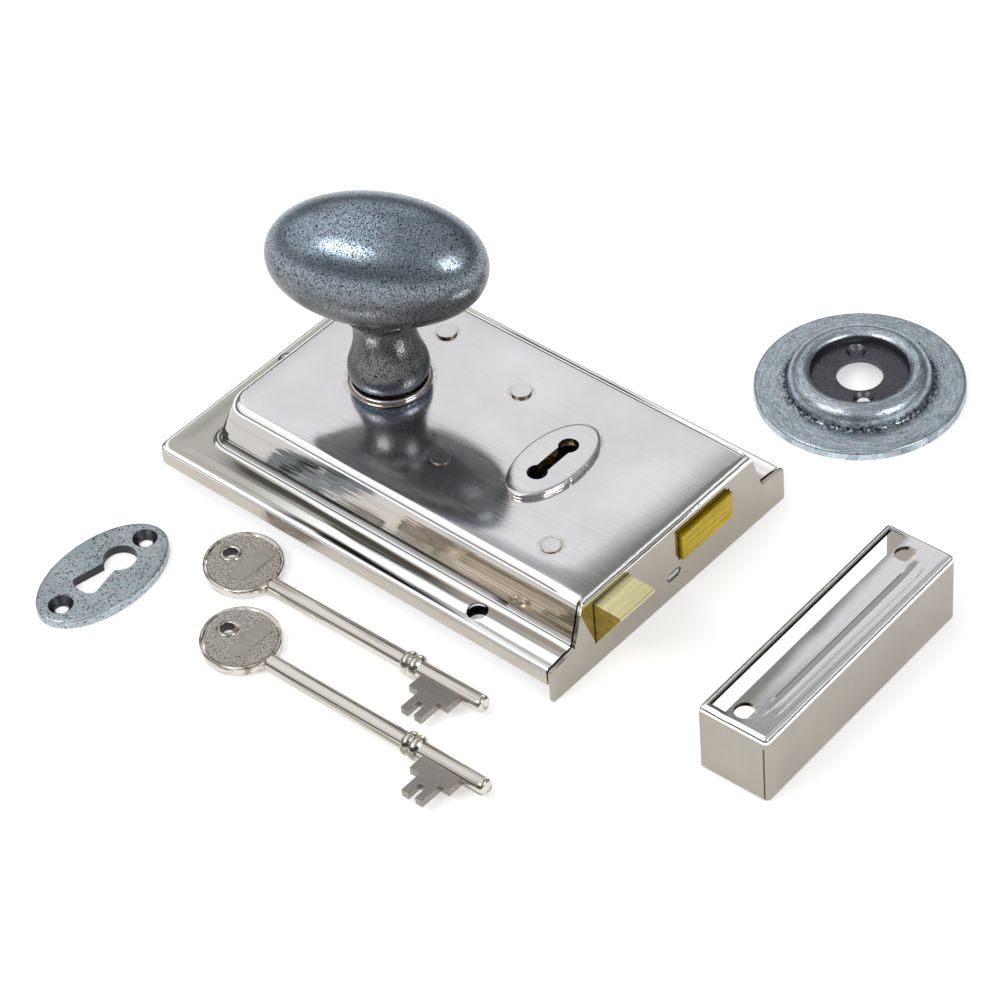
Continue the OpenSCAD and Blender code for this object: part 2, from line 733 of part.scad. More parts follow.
keep_at = [145.1, -44.3];
keep_hole_y = [5.9, 78.3];
module keep() {
  z1 = keep_z;
  t = keep_t;
  color([0.8, 0.79, 0.77]) at(keep_at, floor_z) rotate([0, 0, 1.4]) translate([-keep_x, 0, 0])
    difference() {
      union() {
        difference() {
          translate([0, keep_y, 0]) rotate([90, 0, 0])
            linear_extrude(keep_y) keep_plan();
          box_at([-1, keep_x - t], [t, keep_y - t], [t, z1 - t]);
        }
      }
      box_at([1.2, 6.8], [2.6, keep_y - 2.6], [z1 - 5, z1 + 1]);
      for (y = keep_hole_y) translate([10.7, y, z1 - 5]) cylinder(h = 8, d = keep_hole_d);
      box_at([keep_x - t - 0.1, keep_x - t + 0.3], [-0.1, 0.7], [-1, z1 - 3.5]);
    }
}
module keep_plan() {
  polygon([
    [0, 0], [keep_x, 0], [keep_x, keep_z - 1], [keep_x - 0.3, keep_z - 0.3],
    [keep_x - 1, keep_z], [1.6, keep_z], [0.5, keep_z - 0.5], [0, keep_z - 1.6]
  ]);
}

case();
forend();
back_plate();
keyhole_plate();
lever_pivot_post();
bolt_guide_post();
spacer_post();
latch_guide_post();
cap_screws();
neck_collar();
lever_washers();
latch_spring();
spring_rivet();
follower();
spindle();
knob();
grub_screw();
latch_bolt();
latch_bar();
latch_rivets();
deadbolt();
deadbolt_tail();
deadbolt_rivets();
bolt_stump();
lever_1();
lever_2();
lever_3();
lever_spring_1();
lever_spring_2();
lever_spring_3();
rose();
escutcheon();
key_1();
key_2();
keep();
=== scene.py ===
"""Rim box lock set: looks for a case with a latch and a deadbolt, a knob, a keep, a rose,
an escutcheon and two keys. Sizes are in millimetres in the tables and in metres on the mesh."""

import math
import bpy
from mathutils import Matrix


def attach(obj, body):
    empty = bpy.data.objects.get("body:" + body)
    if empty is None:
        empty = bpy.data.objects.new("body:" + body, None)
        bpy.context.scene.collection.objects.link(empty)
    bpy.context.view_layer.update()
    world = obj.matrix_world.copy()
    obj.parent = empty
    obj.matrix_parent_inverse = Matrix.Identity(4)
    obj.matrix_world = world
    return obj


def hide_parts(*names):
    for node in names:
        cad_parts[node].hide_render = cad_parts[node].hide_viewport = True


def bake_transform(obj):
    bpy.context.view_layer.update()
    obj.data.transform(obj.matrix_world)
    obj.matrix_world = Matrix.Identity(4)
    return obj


bl_info = {
    "name": "Rim box lock set",
    "version": (1, 0, 0),
    "blender": (4, 5, 0),
    "location": "View3D > Sidebar > Rim lock",
    "description": "Builds the dressed pieces of a rim box lock set on its frame",
    "category": "Add Mesh",
}

import bmesh
import bpy
from bpy.props import FloatProperty, FloatVectorProperty, IntProperty, PointerProperty
from mathutils import Matrix, Vector

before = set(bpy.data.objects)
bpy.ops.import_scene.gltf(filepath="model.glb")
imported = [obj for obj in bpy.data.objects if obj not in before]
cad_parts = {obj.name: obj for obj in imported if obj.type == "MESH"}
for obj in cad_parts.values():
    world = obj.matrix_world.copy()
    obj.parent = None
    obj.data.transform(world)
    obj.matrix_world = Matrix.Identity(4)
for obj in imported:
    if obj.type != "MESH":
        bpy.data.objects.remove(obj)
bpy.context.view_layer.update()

MM = 0.001
GLUE = 0.00001
HALF_L = 76.0
HALF_W = 51.0
TOP_Z = 21.6
SHEET = 1.2
WALL_END = 74.2
FLOOR_Z = -6.0
SPINDLE = (-27.7, 0.0)
KEYHOLE = (34.0, 0.5)
ROSE = (65.0, 101.3)
ESCUTCHEON = (-58.2, -92.2)
KEEP = (145.1, -44.3)
KEEP_TURN = 1.4
KEEP_SIZE = (22.3, 86.1, 23.8)
KEEP_SHEET = 1.3
KEY_AXIS_Y = -66.2
KEY_TILT = 1.76
KEY_LEFT = -41.3
KEY_SHIFT = (20.5, -22.3)


# Node helpers


def feed(tree, node, inputs):
    """Gives each input of a node a number, a tuple or another node's output."""
    for key, value in inputs.items():
        socket = node.inputs[key]
        if isinstance(value, bpy.types.NodeSocket):
            tree.links.new(value, socket)
        elif isinstance(value, tuple) and len(value) < len(socket.default_value):
            socket.default_value = (*value, 1.0)
        else:
            socket.default_value = value


def add_node(tree, kind, inputs=(), **values):
    node = tree.nodes.new("ShaderNode" + kind)
    for key, value in values.items():
        setattr(node, key, value)
    feed(tree, node, dict(inputs))
    return node


class Finish:
    """A node material under construction: short calls that add and wire nodes."""

    def __init__(self, name):
        self.material = bpy.data.materials.new(name)
        self.material.use_nodes = True
        self.tree = self.material.node_tree
        self.tree.nodes.clear()
        self.shader = self.node("BsdfPrincipled")
        self.node("OutputMaterial", {"Surface": self.shader.outputs["BSDF"]})
        self.place = self.node("TexCoord").outputs["Object"]
        self.axes = self.node("SeparateXYZ", {"Vector": self.place}).outputs

    def node(self, kind, inputs=(), **values):
        return add_node(self.tree, kind, inputs, **values)

    def noise(self, scale, detail=3.0, rough=0.55, vector=None):
        inputs = {"Vector": self.place if vector is None else vector, "Scale": scale,
                  "Detail": detail, "Roughness": rough}
        return self.node("TexNoise", inputs).outputs["Fac"]

    def lines(self, stretch, detail=2.0):
        """Noise drawn out along the axis with the smallest number of the three."""
        mapping = self.node("Mapping", {"Vector": self.place, "Scale": stretch})
        return self.noise(1.0, detail, vector=mapping.outputs["Vector"])

    def cells(self, scale):
        return self.node("TexVoronoi", {"Vector": self.place, "Scale": scale}).outputs["Distance"]

    def vector(self, operation, first, second=(0.0, 0.0, 0.0)):
        node = self.node("VectorMath", {0: first, 1: second}, operation=operation)
        return node.outputs["Value" if operation == "LENGTH" else "Vector"]

    def away_from(self, centre, stretch=(1.0, 1.0, 0.0)):
        """The way from a point in millimetres, with each axis stretched."""
        offset = self.vector("SUBTRACT", self.place, tuple(value * MM for value in centre))
        return self.vector("MULTIPLY", offset, stretch)

    def round_strokes(self, centre, along, across):
        """Short noise strokes that run round an upright axis, and the distance from it."""
        flat = self.away_from((*centre, 0.0))
        reach = self.vector("LENGTH", flat)
        inputs = {"Vector": self.vector("NORMALIZE", flat), "Scale": along, "Detail": 3.0}
        inputs["W"] = self.times(reach, across / along)
        return self.node("TexNoise", inputs, noise_dimensions="4D").outputs["Fac"], reach

    def remap(self, value, low, high, to_low=0.0, to_high=1.0):
        inputs = {"Value": value, "From Min": low, "From Max": high, "To Min": to_low,
                  "To Max": to_high}
        return self.node("MapRange", inputs, interpolation_type="SMOOTHSTEP").outputs["Result"]

    def sum(self, first, second, operation="ADD"):
        return self.node("Math", {0: first, 1: second}, operation=operation).outputs["Value"]

    def times(self, first, second):
        return self.sum(first, second, "MULTIPLY")

    def blend(self, factor, first, second):
        inputs = {"Factor": factor, 6: first, 7: second}
        return self.node("Mix", inputs, data_type="RGBA").outputs[2]

    def bump(self, height, distance, strength=1.0, under=None):
        inputs = {"Height": height, "Distance": distance, "Strength": strength}
        if under is not None:
            inputs["Normal"] = under
        return self.node("Bump", inputs).outputs["Normal"]

    def done(self, colour, rough, normal=None, metal=1.0):
        inputs = {"Base Color": colour, "Roughness": rough, "Metallic": metal}
        if normal is not None:
            inputs["Normal"] = normal
        feed(self.tree, self.shader, inputs)
        return self.material


def shade(colour, factor):
    return tuple(min(1.0, channel * factor) for channel in colour)


def shade3(colour, red, green, blue):
    return tuple(min(1.0, c * f) for c, f in zip(colour, (red, green, blue)))


# Finishes


# Near-white colour for the rounded folds and bends: partly the lamps' reflection, partly a painted
# highlight.
FOLD_HIGHLIGHT = (0.95, 0.945, 0.94)
# The brown rings round what stands on the top: its middle, stretch, inner and outer reach.
BASE_RINGS = (
    ((-27.5, 24.5, TOP_Z), (1, 1, 0), 3.0, 4.6), ((7.1, 17.8, TOP_Z), (1, 1, 0), 3.0, 4.6),
    ((7.1, -17.0, TOP_Z), (1, 1, 0), 3.0, 4.6), ((55.1, -25.1, TOP_Z), (1, 1, 0), 3.0, 4.6),
    ((*KEYHOLE, TOP_Z), (17.4 / 9.5, 1, 0), 17.2, 19.4), ((*SPINDLE, TOP_Z), (1, 1, 0), 12.2, 14.4),
)
RING_BROWN = (0.44, 0.336, 0.24)
# A painted shade colour for the forend end of the case top.
END_SHADE_TINT = (0.2, 0.195, 0.175)
# A painted warm reflection colour for the folds.
WARM_REFLECTION = (0.6, 0.5, 0.385)


def satin_sheet(name, colour, rough, grain=(60, 1400, 1400), scratch=0.00001, base_rings=(),
                shade_the_end=False):
    """Sheet nickel: fine rolled grain, faint clouds, brown rings round the pieces on it, painted
    end shade if asked.
    """
    finish = Finish(name)
    clouds = finish.remap(finish.lines((30, 30, 30), 4.0), 0.35, 0.7)
    lines = finish.lines(grain)
    tint = finish.blend(clouds, shade(colour, 0.94), shade(colour, 1.06))
    patch = finish.remap(finish.noise(420.0), 0.3, 0.65)
    # Darker brown rings round the foot of each piece on the top.
    for centre, stretch, inner, outer in base_rings:
        reach = finish.vector("LENGTH", finish.away_from(centre, stretch))
        ring = finish.times(finish.remap(reach, inner * MM, outer * MM, 0.75, 0.0), patch)
        tint = finish.blend(ring, tint, RING_BROWN)
    # Painted shade and reflection: the top turns dull and dark towards the forend fold.
    if shade_the_end:
        end_shade = finish.remap(finish.axes["X"], 64.0 * MM, 74.5 * MM, 0.0, 0.6)
        tint = finish.blend(end_shade, tint, END_SHADE_TINT)
    gloss = finish.remap(lines, 0.3, 0.75, rough * 0.75, rough * 1.35)
    normal = finish.bump(lines, scratch, 0.6)
    waves = finish.lines((22, 22, 22), 1.0)
    return finish.done(tint, gloss, finish.bump(waves, 0.0004, 0.25, normal))


def polished_sheet(name, colour, rough, streak_reflection=(0.35, 0.32, 0.29), share=0.35, wave=0.00012,
                   warm_reflection_from=None, crosswise=False):
    """Bright nickel on the folds: draw lines bend the reflections into streaks; painted dark
    streaks lie along them.
    """
    finish = Finish(name)

    def drawn(along, across, detail=2.0):
        stretch = (across, along, across) if crosswise else (along, across, across)
        return finish.lines(stretch, detail)

    fine = drawn(40, 1900)
    # Painted reflection: dark streaks along the draw lines.
    tint = finish.blend(finish.remap(drawn(9, 520, 3.0), 0.46, 0.66, 0.0, share), colour, streak_reflection)
    # Painted reflection: warm tan streaks on the folds towards the forend.
    if warm_reflection_from is not None:
        low, high = (warm_reflection_from - 30.0) * MM, (warm_reflection_from + 45.0) * MM
        place = finish.times(finish.remap(finish.axes["X"], low, high),
                             finish.remap(drawn(5, 300), 0.44, 0.58, 0.0, 0.8))
        tint = finish.blend(place, tint, WARM_REFLECTION)
    gloss = finish.remap(fine, 0.3, 0.75, rough * 0.7, rough * 1.6)
    normal = finish.bump(fine, 0.000006, 0.5, finish.bump(drawn(5, 330), wave))
    return finish.done(tint, gloss, normal)


# The painted reflection bands along the flange, in millimetres: where each starts, is full, fades
# and ends across it, where it comes in along it, how much is kept past the screw hole, and its
# colour.
FLANGE_REFLECTIONS = (
    (1.2, 1.7, 2.0, 3.4, -38.0, -20.0, 0.0, (0.07, 0.066, 0.055)),
    (5.0, 7.4, 8.6, 9.5, -62.0, -44.0, 0.62, (0.1, 0.096, 0.08)),
)


def flange_sheet(name, rough):
    """The pressed flange: painted reflections, dull at the left, then dark and bright bands along
    it.
    """
    finish = Finish(name)
    x = finish.axes["X"]
    fine = finish.lines((40, 1900, 1900))
    drift = finish.remap(finish.lines((16, 90, 90)), 0.2, 0.8, -0.0009, 0.0009)
    inset = finish.sum(HALF_W * MM, finish.sum(finish.axes["Y"], 0.0, "ABSOLUTE"), "SUBTRACT")
    inset = finish.sum(inset, drift)
    # Painted reflection: the left part of the flange is darker and duller.
    tint = finish.blend(finish.remap(x, -0.045, -0.005), (0.45, 0.44, 0.4), (1.0, 1.0, 0.98))
    for start, full, fade, end, x_from, x_full, kept, tone in FLANGE_REFLECTIONS:
        reflection_band = finish.times(finish.remap(inset, start * MM, full * MM),
                            finish.remap(inset, fade * MM, end * MM, 1.0, 0.0))
        reflection_band = finish.times(reflection_band, finish.remap(x, x_from * MM, x_full * MM))
        reflection_band = finish.times(reflection_band, finish.remap(x, 22.0 * MM, 40.0 * MM, 1.0, kept))
        tint = finish.blend(reflection_band, tint, tone)
    gloss = finish.remap(fine, 0.3, 0.75, rough * 0.7, rough * 1.6)
    return finish.done(tint, gloss, finish.bump(finish.lines((4, 250, 250), 1.0), 0.00005))


def keep_top_reflection_sheet(name, rough):
    """The top of the keep: a painted reflection, dull towards its slot, bright along the crease."""
    finish = Finish(name)
    slant = math.tan(math.radians(KEEP_TURN)) + 0.045
    place = finish.sum(finish.axes["X"], finish.times(finish.axes["Y"], slant))
    clouds = finish.lines((90, 45, 90), 3.0)
    place = finish.sum(place, finish.remap(clouds, 0.25, 0.75, -0.001, 0.001))
    start = (KEEP[0] - KEEP_SIZE[0] + KEEP[1] * slant + 8.8) * MM
    # Painted reflection: dark grey towards the slot, pale towards the crease.
    tint = finish.blend(finish.remap(place, start, start + 0.005),
                        (0.24, 0.24, 0.225), (0.68, 0.68, 0.7))
    lines = finish.lines((900, 30, 900))
    gloss = finish.remap(lines, 0.3, 0.75, rough * 0.8, rough * 1.3)
    return finish.done(tint, gloss, finish.bump(lines, 0.000003, 0.5))


def pitted_pewter(name, colour, dark, rough, grain=1.0, pits=0.5, strokes=None, painted_low_shade=None):
    """Tumbled casting: blue grey metal under a dense black grain, pits and worn spots."""
    finish = Finish(name)
    blend, noise, remap, times = finish.blend, finish.noise, finish.remap, finish.times
    worn = noise(1500.0, 2.0, 0.6)
    base = blend(remap(noise(190.0, 2.0), 0.35, 0.65), shade3(colour, 1.04, 0.98, 1.03),
                 shade3(colour, 0.92, 0.99, 0.985))
    base = blend(remap(noise(75.0, 4.0, 0.6), 0.35, 0.7, 0.0, 0.45), base, shade(colour, 0.62))
    base = blend(remap(worn, 0.5, 0.7, 0.0, 0.6), base, shade(colour, 1.45))
    # Painted shade and reflection: the low part of the piece turns darker and olive.
    if painted_low_shade is not None:
        low, high, tone = painted_low_shade
        base = blend(remap(finish.axes["Z"], low * MM, high * MM, 0.85, 0.0), base, tone)
    if strokes is not None:
        centre, share, inner, outer = strokes
        lines, reach = finish.round_strokes(centre, 7.0, 2600.0)
        base = blend(remap(lines, 0.44, 0.62, 0.0, share), base, shade(colour, 0.38))
        base = blend(remap(lines, 0.46, 0.3, 0.0, 0.5), base, shade(colour, 1.5))
        edge = times(remap(reach, inner * MM, outer * MM, 1.0, 0.0),
                     remap(reach, inner * MM - 0.0008, inner * MM))
        edge = times(edge, remap(noise(900.0, 3.0, 0.7), 0.4, 0.56))
        base = blend(edge, base, dark)
    pit_places = remap(noise(260.0, 3.0, 0.7), 0.62 - 0.3 * pits, 0.72 - 0.3 * pits)
    pit = times(remap(finish.cells(900.0), 0.12, 0.4, 1.0, 0.0), pit_places)
    specks = remap(noise(2700.0, 2.0, 0.65), 0.525, 0.575, 0.0, grain)
    marks = finish.sum(specks, pit, "MAXIMUM")
    gloss = remap(worn, 0.3, 0.7, rough * 1.2, rough * 0.8)
    normal = finish.bump(times(marks, -1.0), 0.00005, 0.6)
    return finish.done(blend(marks, base, dark), gloss, normal)


def brushed_brass(name, colour, deep, rough, grain):
    """Brass with straight brush lines, fine scratches and dull patches."""
    finish = Finish(name)
    lines = finish.lines(grain, 3.0)
    fine = finish.lines(tuple(g * 2.7 for g in grain))
    tint = finish.blend(finish.remap(lines, 0.3, 0.72), deep, colour)
    tint = finish.blend(finish.remap(finish.noise(160.0), 0.5, 0.8, 0.0, 0.35), tint, deep)
    gloss = finish.remap(fine, 0.3, 0.7, rough * 0.8, rough * 1.4)
    normal = finish.bump(fine, 0.00001, 0.6, finish.bump(lines, 0.00003, 0.7))
    return finish.done(tint, gloss, normal)


def stippled_nickel(name, colour, dark, rough):
    """Cast stipple of the key bows: small bright grains with dull gaps."""
    finish = Finish(name)
    grit = finish.noise(2600.0, 2.0, 0.6)
    gaps = finish.remap(finish.cells(2300.0), 0.35, 0.8)
    tint = finish.blend(finish.times(gaps, 0.55), colour, dark)
    tint = finish.blend(finish.remap(grit, 0.48, 0.66, 0.0, 0.75), tint, dark)
    normal = finish.bump(finish.times(gaps, -1.0), 0.0001, 0.8)
    return finish.done(tint, rough, finish.bump(grit, 0.00004, 0.6, normal))


def plain_steel(name, colour, rough):
    """Plain inner steel with a light grain."""
    finish = Finish(name)
    grain = finish.lines((200, 900, 900), 3.0)
    tint = finish.blend(finish.remap(grain, 0.3, 0.7), shade(colour, 0.85), shade(colour, 1.1))
    return finish.done(tint, rough, finish.bump(grain, 0.00001, 0.5))


class FinishSettings(bpy.types.PropertyGroup):
    """Colours of the metals."""

    sheet: FloatVectorProperty(
        name="Sheet nickel", description="Colour of the case top", subtype="COLOR",
        default=(0.72, 0.715, 0.74), min=0.0, max=1.0)
    folds: FloatVectorProperty(
        name="Bright folds", description="Colour of the flange and slopes", subtype="COLOR",
        default=(0.51, 0.495, 0.475), min=0.0, max=1.0)
    # Partly the sheet's own colour, partly a painted warm reflection of the surroundings on the
    # sides.
    warm_sheet_and_reflection: FloatVectorProperty(
        name="Warm sheet", description="Colour of the skirt, forend and keep walls",
        subtype="COLOR", default=(0.43, 0.395, 0.345), min=0.0, max=1.0)
    pewter: FloatVectorProperty(
        name="Pewter", description="Colour of the knob, rose and escutcheon", subtype="COLOR",
        default=(0.27, 0.325, 0.385), min=0.0, max=1.0)
    latch: FloatVectorProperty(
        name="Latch brass", description="Colour of the latch", subtype="COLOR",
        default=(0.92, 0.85, 0.47), min=0.0, max=1.0)
    deadbolt: FloatVectorProperty(
        name="Deadbolt brass", description="Colour of the deadbolt", subtype="COLOR",
        default=(0.6, 0.42, 0.02), min=0.0, max=1.0)
    key: FloatVectorProperty(
        name="Key nickel", description="Colour of the keys", subtype="COLOR",
        default=(0.62, 0.59, 0.54), min=0.0, max=1.0)


class CaseSettings(bpy.types.PropertyGroup):
    """Folds of the case."""

    corner: FloatProperty(
        name="Case corner", description="Radius of the left corners, in millimetres",
        default=3.0, min=1.0, max=6.0)
    steps: IntProperty(
        name="Corner steps", description="Mesh steps round a corner", default=10, min=4, max=24)


class KnobSettings(bpy.types.PropertyGroup):
    """Shape of the knob."""

    half_length: FloatProperty(
        name="Half length", description="Half length of the head", unit="LENGTH",
        default=32.6 * MM, min=0.02, max=0.05)
    half_width: FloatProperty(
        name="Half width", description="Half width of the head", unit="LENGTH",
        default=19.3 * MM, min=0.01, max=0.04)
    height: FloatProperty(
        name="Centre height", description="Height of the head centre", unit="LENGTH",
        default=65.7 * MM, min=0.04, max=0.1)
    turn: FloatProperty(
        name="Turn", description="Turn of the head about the spindle", subtype="ANGLE",
        default=math.radians(26.0), min=-3.15, max=3.15)


class StageSettings(bpy.types.PropertyGroup):
    """Camera and light."""

    azimuth: FloatProperty(
        name="Azimuth", description="Camera azimuth", subtype="ANGLE",
        default=math.radians(45.218), min=-7.0, max=7.0)
    elevation: FloatProperty(
        name="Elevation", description="Camera elevation", subtype="ANGLE",
        default=math.radians(43.198), min=-1.6, max=1.6)
    roll: FloatProperty(
        name="Roll", description="Camera roll", subtype="ANGLE",
        default=math.radians(-5.680), min=-1.0, max=1.0)
    distance: FloatProperty(
        name="Distance", description="Camera distance from its aim", unit="LENGTH",
        default=1.0613, min=0.3, max=3.0)
    focal: FloatProperty(
        name="Focal length", description="Focal length in image widths",
        default=3.6987, min=1.0, max=8.0)
    lamp_share: FloatProperty(
        name="Lamp share", description="Factor on every lamp",
        default=1.0, min=0.0, max=10.0)
    room: FloatProperty(
        name="Room light", description="Factor on the graded room light",
        default=1.0, min=0.0, max=3.0)
    floor_colour: FloatProperty(
        name="Floor colour", description="Grey level of the floor",
        default=0.85, min=0.0, max=1.0)
    floor_glow: FloatProperty(
        name="Floor lift", description="Light added to the floor for the camera and reflections",
        default=0.45, min=0.0, max=1.0)


# Mesh helpers


def placed(name, data):
    """An object with this data, in the scene."""
    piece = bpy.data.objects.new(name, data)
    bpy.context.scene.collection.objects.link(piece)
    return piece


def new_mesh(name, verts, faces, finishes, face_slots=None):
    """An object from points in millimetres."""
    mesh = bpy.data.meshes.new(name)
    mesh.from_pydata([Vector(v) * MM for v in verts], [], faces)
    for finish in finishes:
        mesh.materials.append(finish)
    if face_slots is not None:
        mesh.polygons.foreach_set("material_index", face_slots)
    mesh.validate()
    return placed(name, mesh)


def weld(piece, distance=GLUE):
    mesh = bmesh.new()
    mesh.from_mesh(piece.data)
    bmesh.ops.remove_doubles(mesh, verts=mesh.verts, dist=distance)
    bmesh.ops.recalc_face_normals(mesh, faces=mesh.faces)
    mesh.to_mesh(piece.data)
    mesh.free()


def settle(piece):
    """Applies the modifiers that a piece has so far."""
    graph = bpy.context.evaluated_depsgraph_get()
    graph.update()
    done = bpy.data.meshes.new_from_object(piece.evaluated_get(graph))
    done.name = piece.name
    piece.modifiers.clear()
    piece.data = done


def thicken(piece, sheet):
    """Gives an outer skin its sheet thickness, inward."""
    thick = piece.modifiers.new("sheet", "SOLIDIFY")
    thick.thickness = sheet * MM
    thick.offset = -1.0
    thick.use_even_offset = True
    settle(piece)


def carve(piece, cutters):
    """Cuts closed shapes out of a piece, one after the other."""
    for cutter in cutters:
        change = piece.modifiers.new("carve", "BOOLEAN")
        change.operation = "DIFFERENCE"
        change.solver = "EXACT"
        change.object = cutter
        settle(piece)
        bpy.data.objects.remove(cutter, do_unlink=True)
    return piece


def smooth(piece, sharp=35.0, bevel=0.0, segments=2):
    """Soft shading with crisp edges above an angle, and a small worn edge if asked for."""
    if bevel:
        edge = piece.modifiers.new("worn_edge", "BEVEL")
        edge.width = bevel * MM
        edge.segments = segments
        edge.limit_method = "ANGLE"
        edge.angle_limit = math.radians(sharp)
        edge.use_clamp_overlap = True
        settle(piece)
    piece.data.shade_smooth()
    piece.data.set_sharp_from_angle(angle=math.radians(sharp))
    even = piece.modifiers.new("even_shading", "WEIGHTED_NORMAL")
    even.keep_sharp = True


def bridge(rings, count, closed=True, flip=False, start=0):
    """Quads between rings of count points; closed joins a ring's last point to its first."""
    faces = []
    for k in range(rings - 1):
        for i in range(count if closed else count - 1):
            a, b = start + k * count + i, start + k * count + (i + 1) % count
            faces.append((a, a + count, b + count, b) if flip else (a, b, b + count, a + count))
    return faces


def ends(count, rings=2):
    """The faces that close the first and the last ring."""
    last = (rings - 1) * count
    return [tuple(reversed(range(count))), tuple(range(last, last + count))]


def prism(name, outline, low, high, finishes=()):
    """A flat outline, counter-clockwise in X and Y, raised from low to high."""
    count = len(outline)
    verts = [(x, y, z) for z in (low, high) for x, y in outline]
    return new_mesh(name, verts, ends(count) + bridge(2, count), finishes)


def block(x, y, z):
    outline = [(x[0], y[0]), (x[1], y[0]), (x[1], y[1]), (x[0], y[1])]
    return prism("cutter", outline, z[0], z[1])


def arc(x, y, radius, start, sweep, steps):
    """Points of a round corner, both of its ends with it."""
    angles = [start + sweep * i / steps for i in range(steps + 1)]
    return [(x + radius * math.cos(a), y + radius * math.sin(a)) for a in angles]


def circle(x, y, radius, steps=48):
    return arc(x, y, radius, 0.0, 2.0 * math.pi, steps)[:-1]


def drill(x, y, radius, low, high, steps=48):
    return prism("cutter", circle(x, y, radius, steps), low, high)


def countersink(x, y, r_low, r_high, low, high):
    """A tapered plug that flares upward."""
    return turned("cutter", [(r_low, low), (r_high, high)], (x, y), steps=48, closed=True)


def turned(name, profile, centre, base=0.0, steps=96, closed=False, finishes=(), slots=None,
           scale=(1.0, 1.0)):
    """A profile of (radius, height) turned about an upright axis, scaled to an oval if asked."""
    verts = [(centre[0] + scale[0] * x, centre[1] + scale[1] * y, base + height)
             for radius, height in profile for x, y in circle(0.0, 0.0, radius, steps)]
    slots = slots or [0] * (len(profile) - 1)
    faces = bridge(len(profile), steps)
    face_slots = [slot for slot in slots for i in range(steps)]
    if closed:
        faces += ends(steps, len(profile))
        face_slots += [slots[0], slots[-1]]
    return new_mesh(name, verts, faces, finishes, face_slots)


def joined(name, pieces):
    """Several meshes as one object."""
    whole = bmesh.new()
    finishes = []
    for piece in pieces:
        part = piece.data.copy()
        for polygon in part.polygons:
            finish = piece.data.materials[polygon.material_index]
            if finish not in finishes:
                finishes.append(finish)
            polygon.material_index = finishes.index(finish)
        part.transform(piece.matrix_world)
        whole.from_mesh(part)
        bpy.data.meshes.remove(part)
    mesh = bpy.data.meshes.new(name)
    whole.to_mesh(mesh)
    whole.free()
    for finish in finishes:
        mesh.materials.append(finish)
    for piece in pieces:
        bpy.data.objects.remove(piece, do_unlink=True)
    return placed(name, mesh)


def cad_copy(name, ending, finishes):
    """A new piece and an open mesh, which has the shape of a CAD node with its flats whole."""
    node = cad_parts[name]
    piece = new_mesh(name + ending, [], [], finishes)
    mesh = bmesh.new()
    mesh.from_mesh(node.data)
    bmesh.ops.transform(mesh, matrix=node.matrix_world, verts=mesh.verts)
    bmesh.ops.remove_doubles(mesh, verts=mesh.verts, dist=GLUE)
    bmesh.ops.dissolve_limit(mesh, angle_limit=0.02, verts=mesh.verts, edges=mesh.edges)
    return piece, mesh


def stand_for(piece, body, slot, *nodes):
    """The piece rides on its body and hides its CAD nodes; the slot is not used."""
    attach(piece, body)
    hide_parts(*nodes)


def keyhole_outline(centre, end, radius, half_slot, more=0.0, steps=20):
    """Two round ends joined by a straight slot."""
    radius, half_slot = radius + more, half_slot + more
    dip = math.asin(min(1.0, half_slot / radius))
    points = []
    for side, start in ((1, dip - math.pi / 2), (-1, dip + math.pi / 2)):
        sweep = 2.0 * math.pi - 2.0 * dip
        points += arc(centre[0], centre[1] + side * end, radius, start, sweep, steps)
    return points


# Case


# The case in section, as (inset from the edge of the flange, height), in millimetres.
SECTION = (
    (0.0, 0.0), (0.0, 2.2), (0.0, 4.45), (0.06, 4.85), (0.26, 5.22), (0.58, 5.5), (1.0, 5.66),
    (1.4, 5.64), (2.6, 5.66), (3.6, 5.81), (4.8, 6.0), (6.0, 6.16), (7.2, 6.2), (8.3, 6.2),
    (9.0, 6.2), (9.6, 6.34), (10.1, 6.75), (10.5, 7.45), (10.95, 8.9), (11.6, 11.3),
    (12.4, 14.1), (13.25, 17.0), (13.97, 19.5), (14.2, 20.1), (14.58, 20.6), (15.08, 20.98),
    (15.66, 21.22), (16.3, 21.31), (17.4, 21.4), (19.2, 21.51), (21.2, 21.58), (23.4, 21.6),
)
TOP, FOLDS, SKIRT, FLANGE, ROLL, END_SLOPE = range(6)
# Up to which ring of SECTION each finish is used; the rings past the last one are the top.
BANDS = ((3, SKIRT), (7, ROLL), (15, FLANGE), (18, ROLL), (22, FOLDS), (27, ROLL))
CROWN_START = 60.0
CROWN_DROP = 0.62
BEND = 2.2
SCREW_HOLE = 6.2
FLANGE_HOLES = ((44.5, -45.4), (44.5, 45.4), (-71.0, 0.0))
PLATE_HALVES = (9.5, 17.4)
PLATE_RINGS = ((1.0, 0.0), (1.0, 0.9), (0.992, 1.25), (0.972, 1.52), (0.94, 1.66), (0.9, 1.7),
               (0.8, 1.7))
TOP_END = HALF_L - SHEET
SIDE_CORNER = 7.6
FOOT_CORNER = 6.4
FOOT_INSET = 10.7
FOOT_LEFT = 12.6
TOP_INSET = 14.6
TOP_FACE_INSET = 15.5
LEAD = (0.0, 0.3, 0.6, 1.0, 1.6)
LINE_RUN = 24
END_CUTS = 8


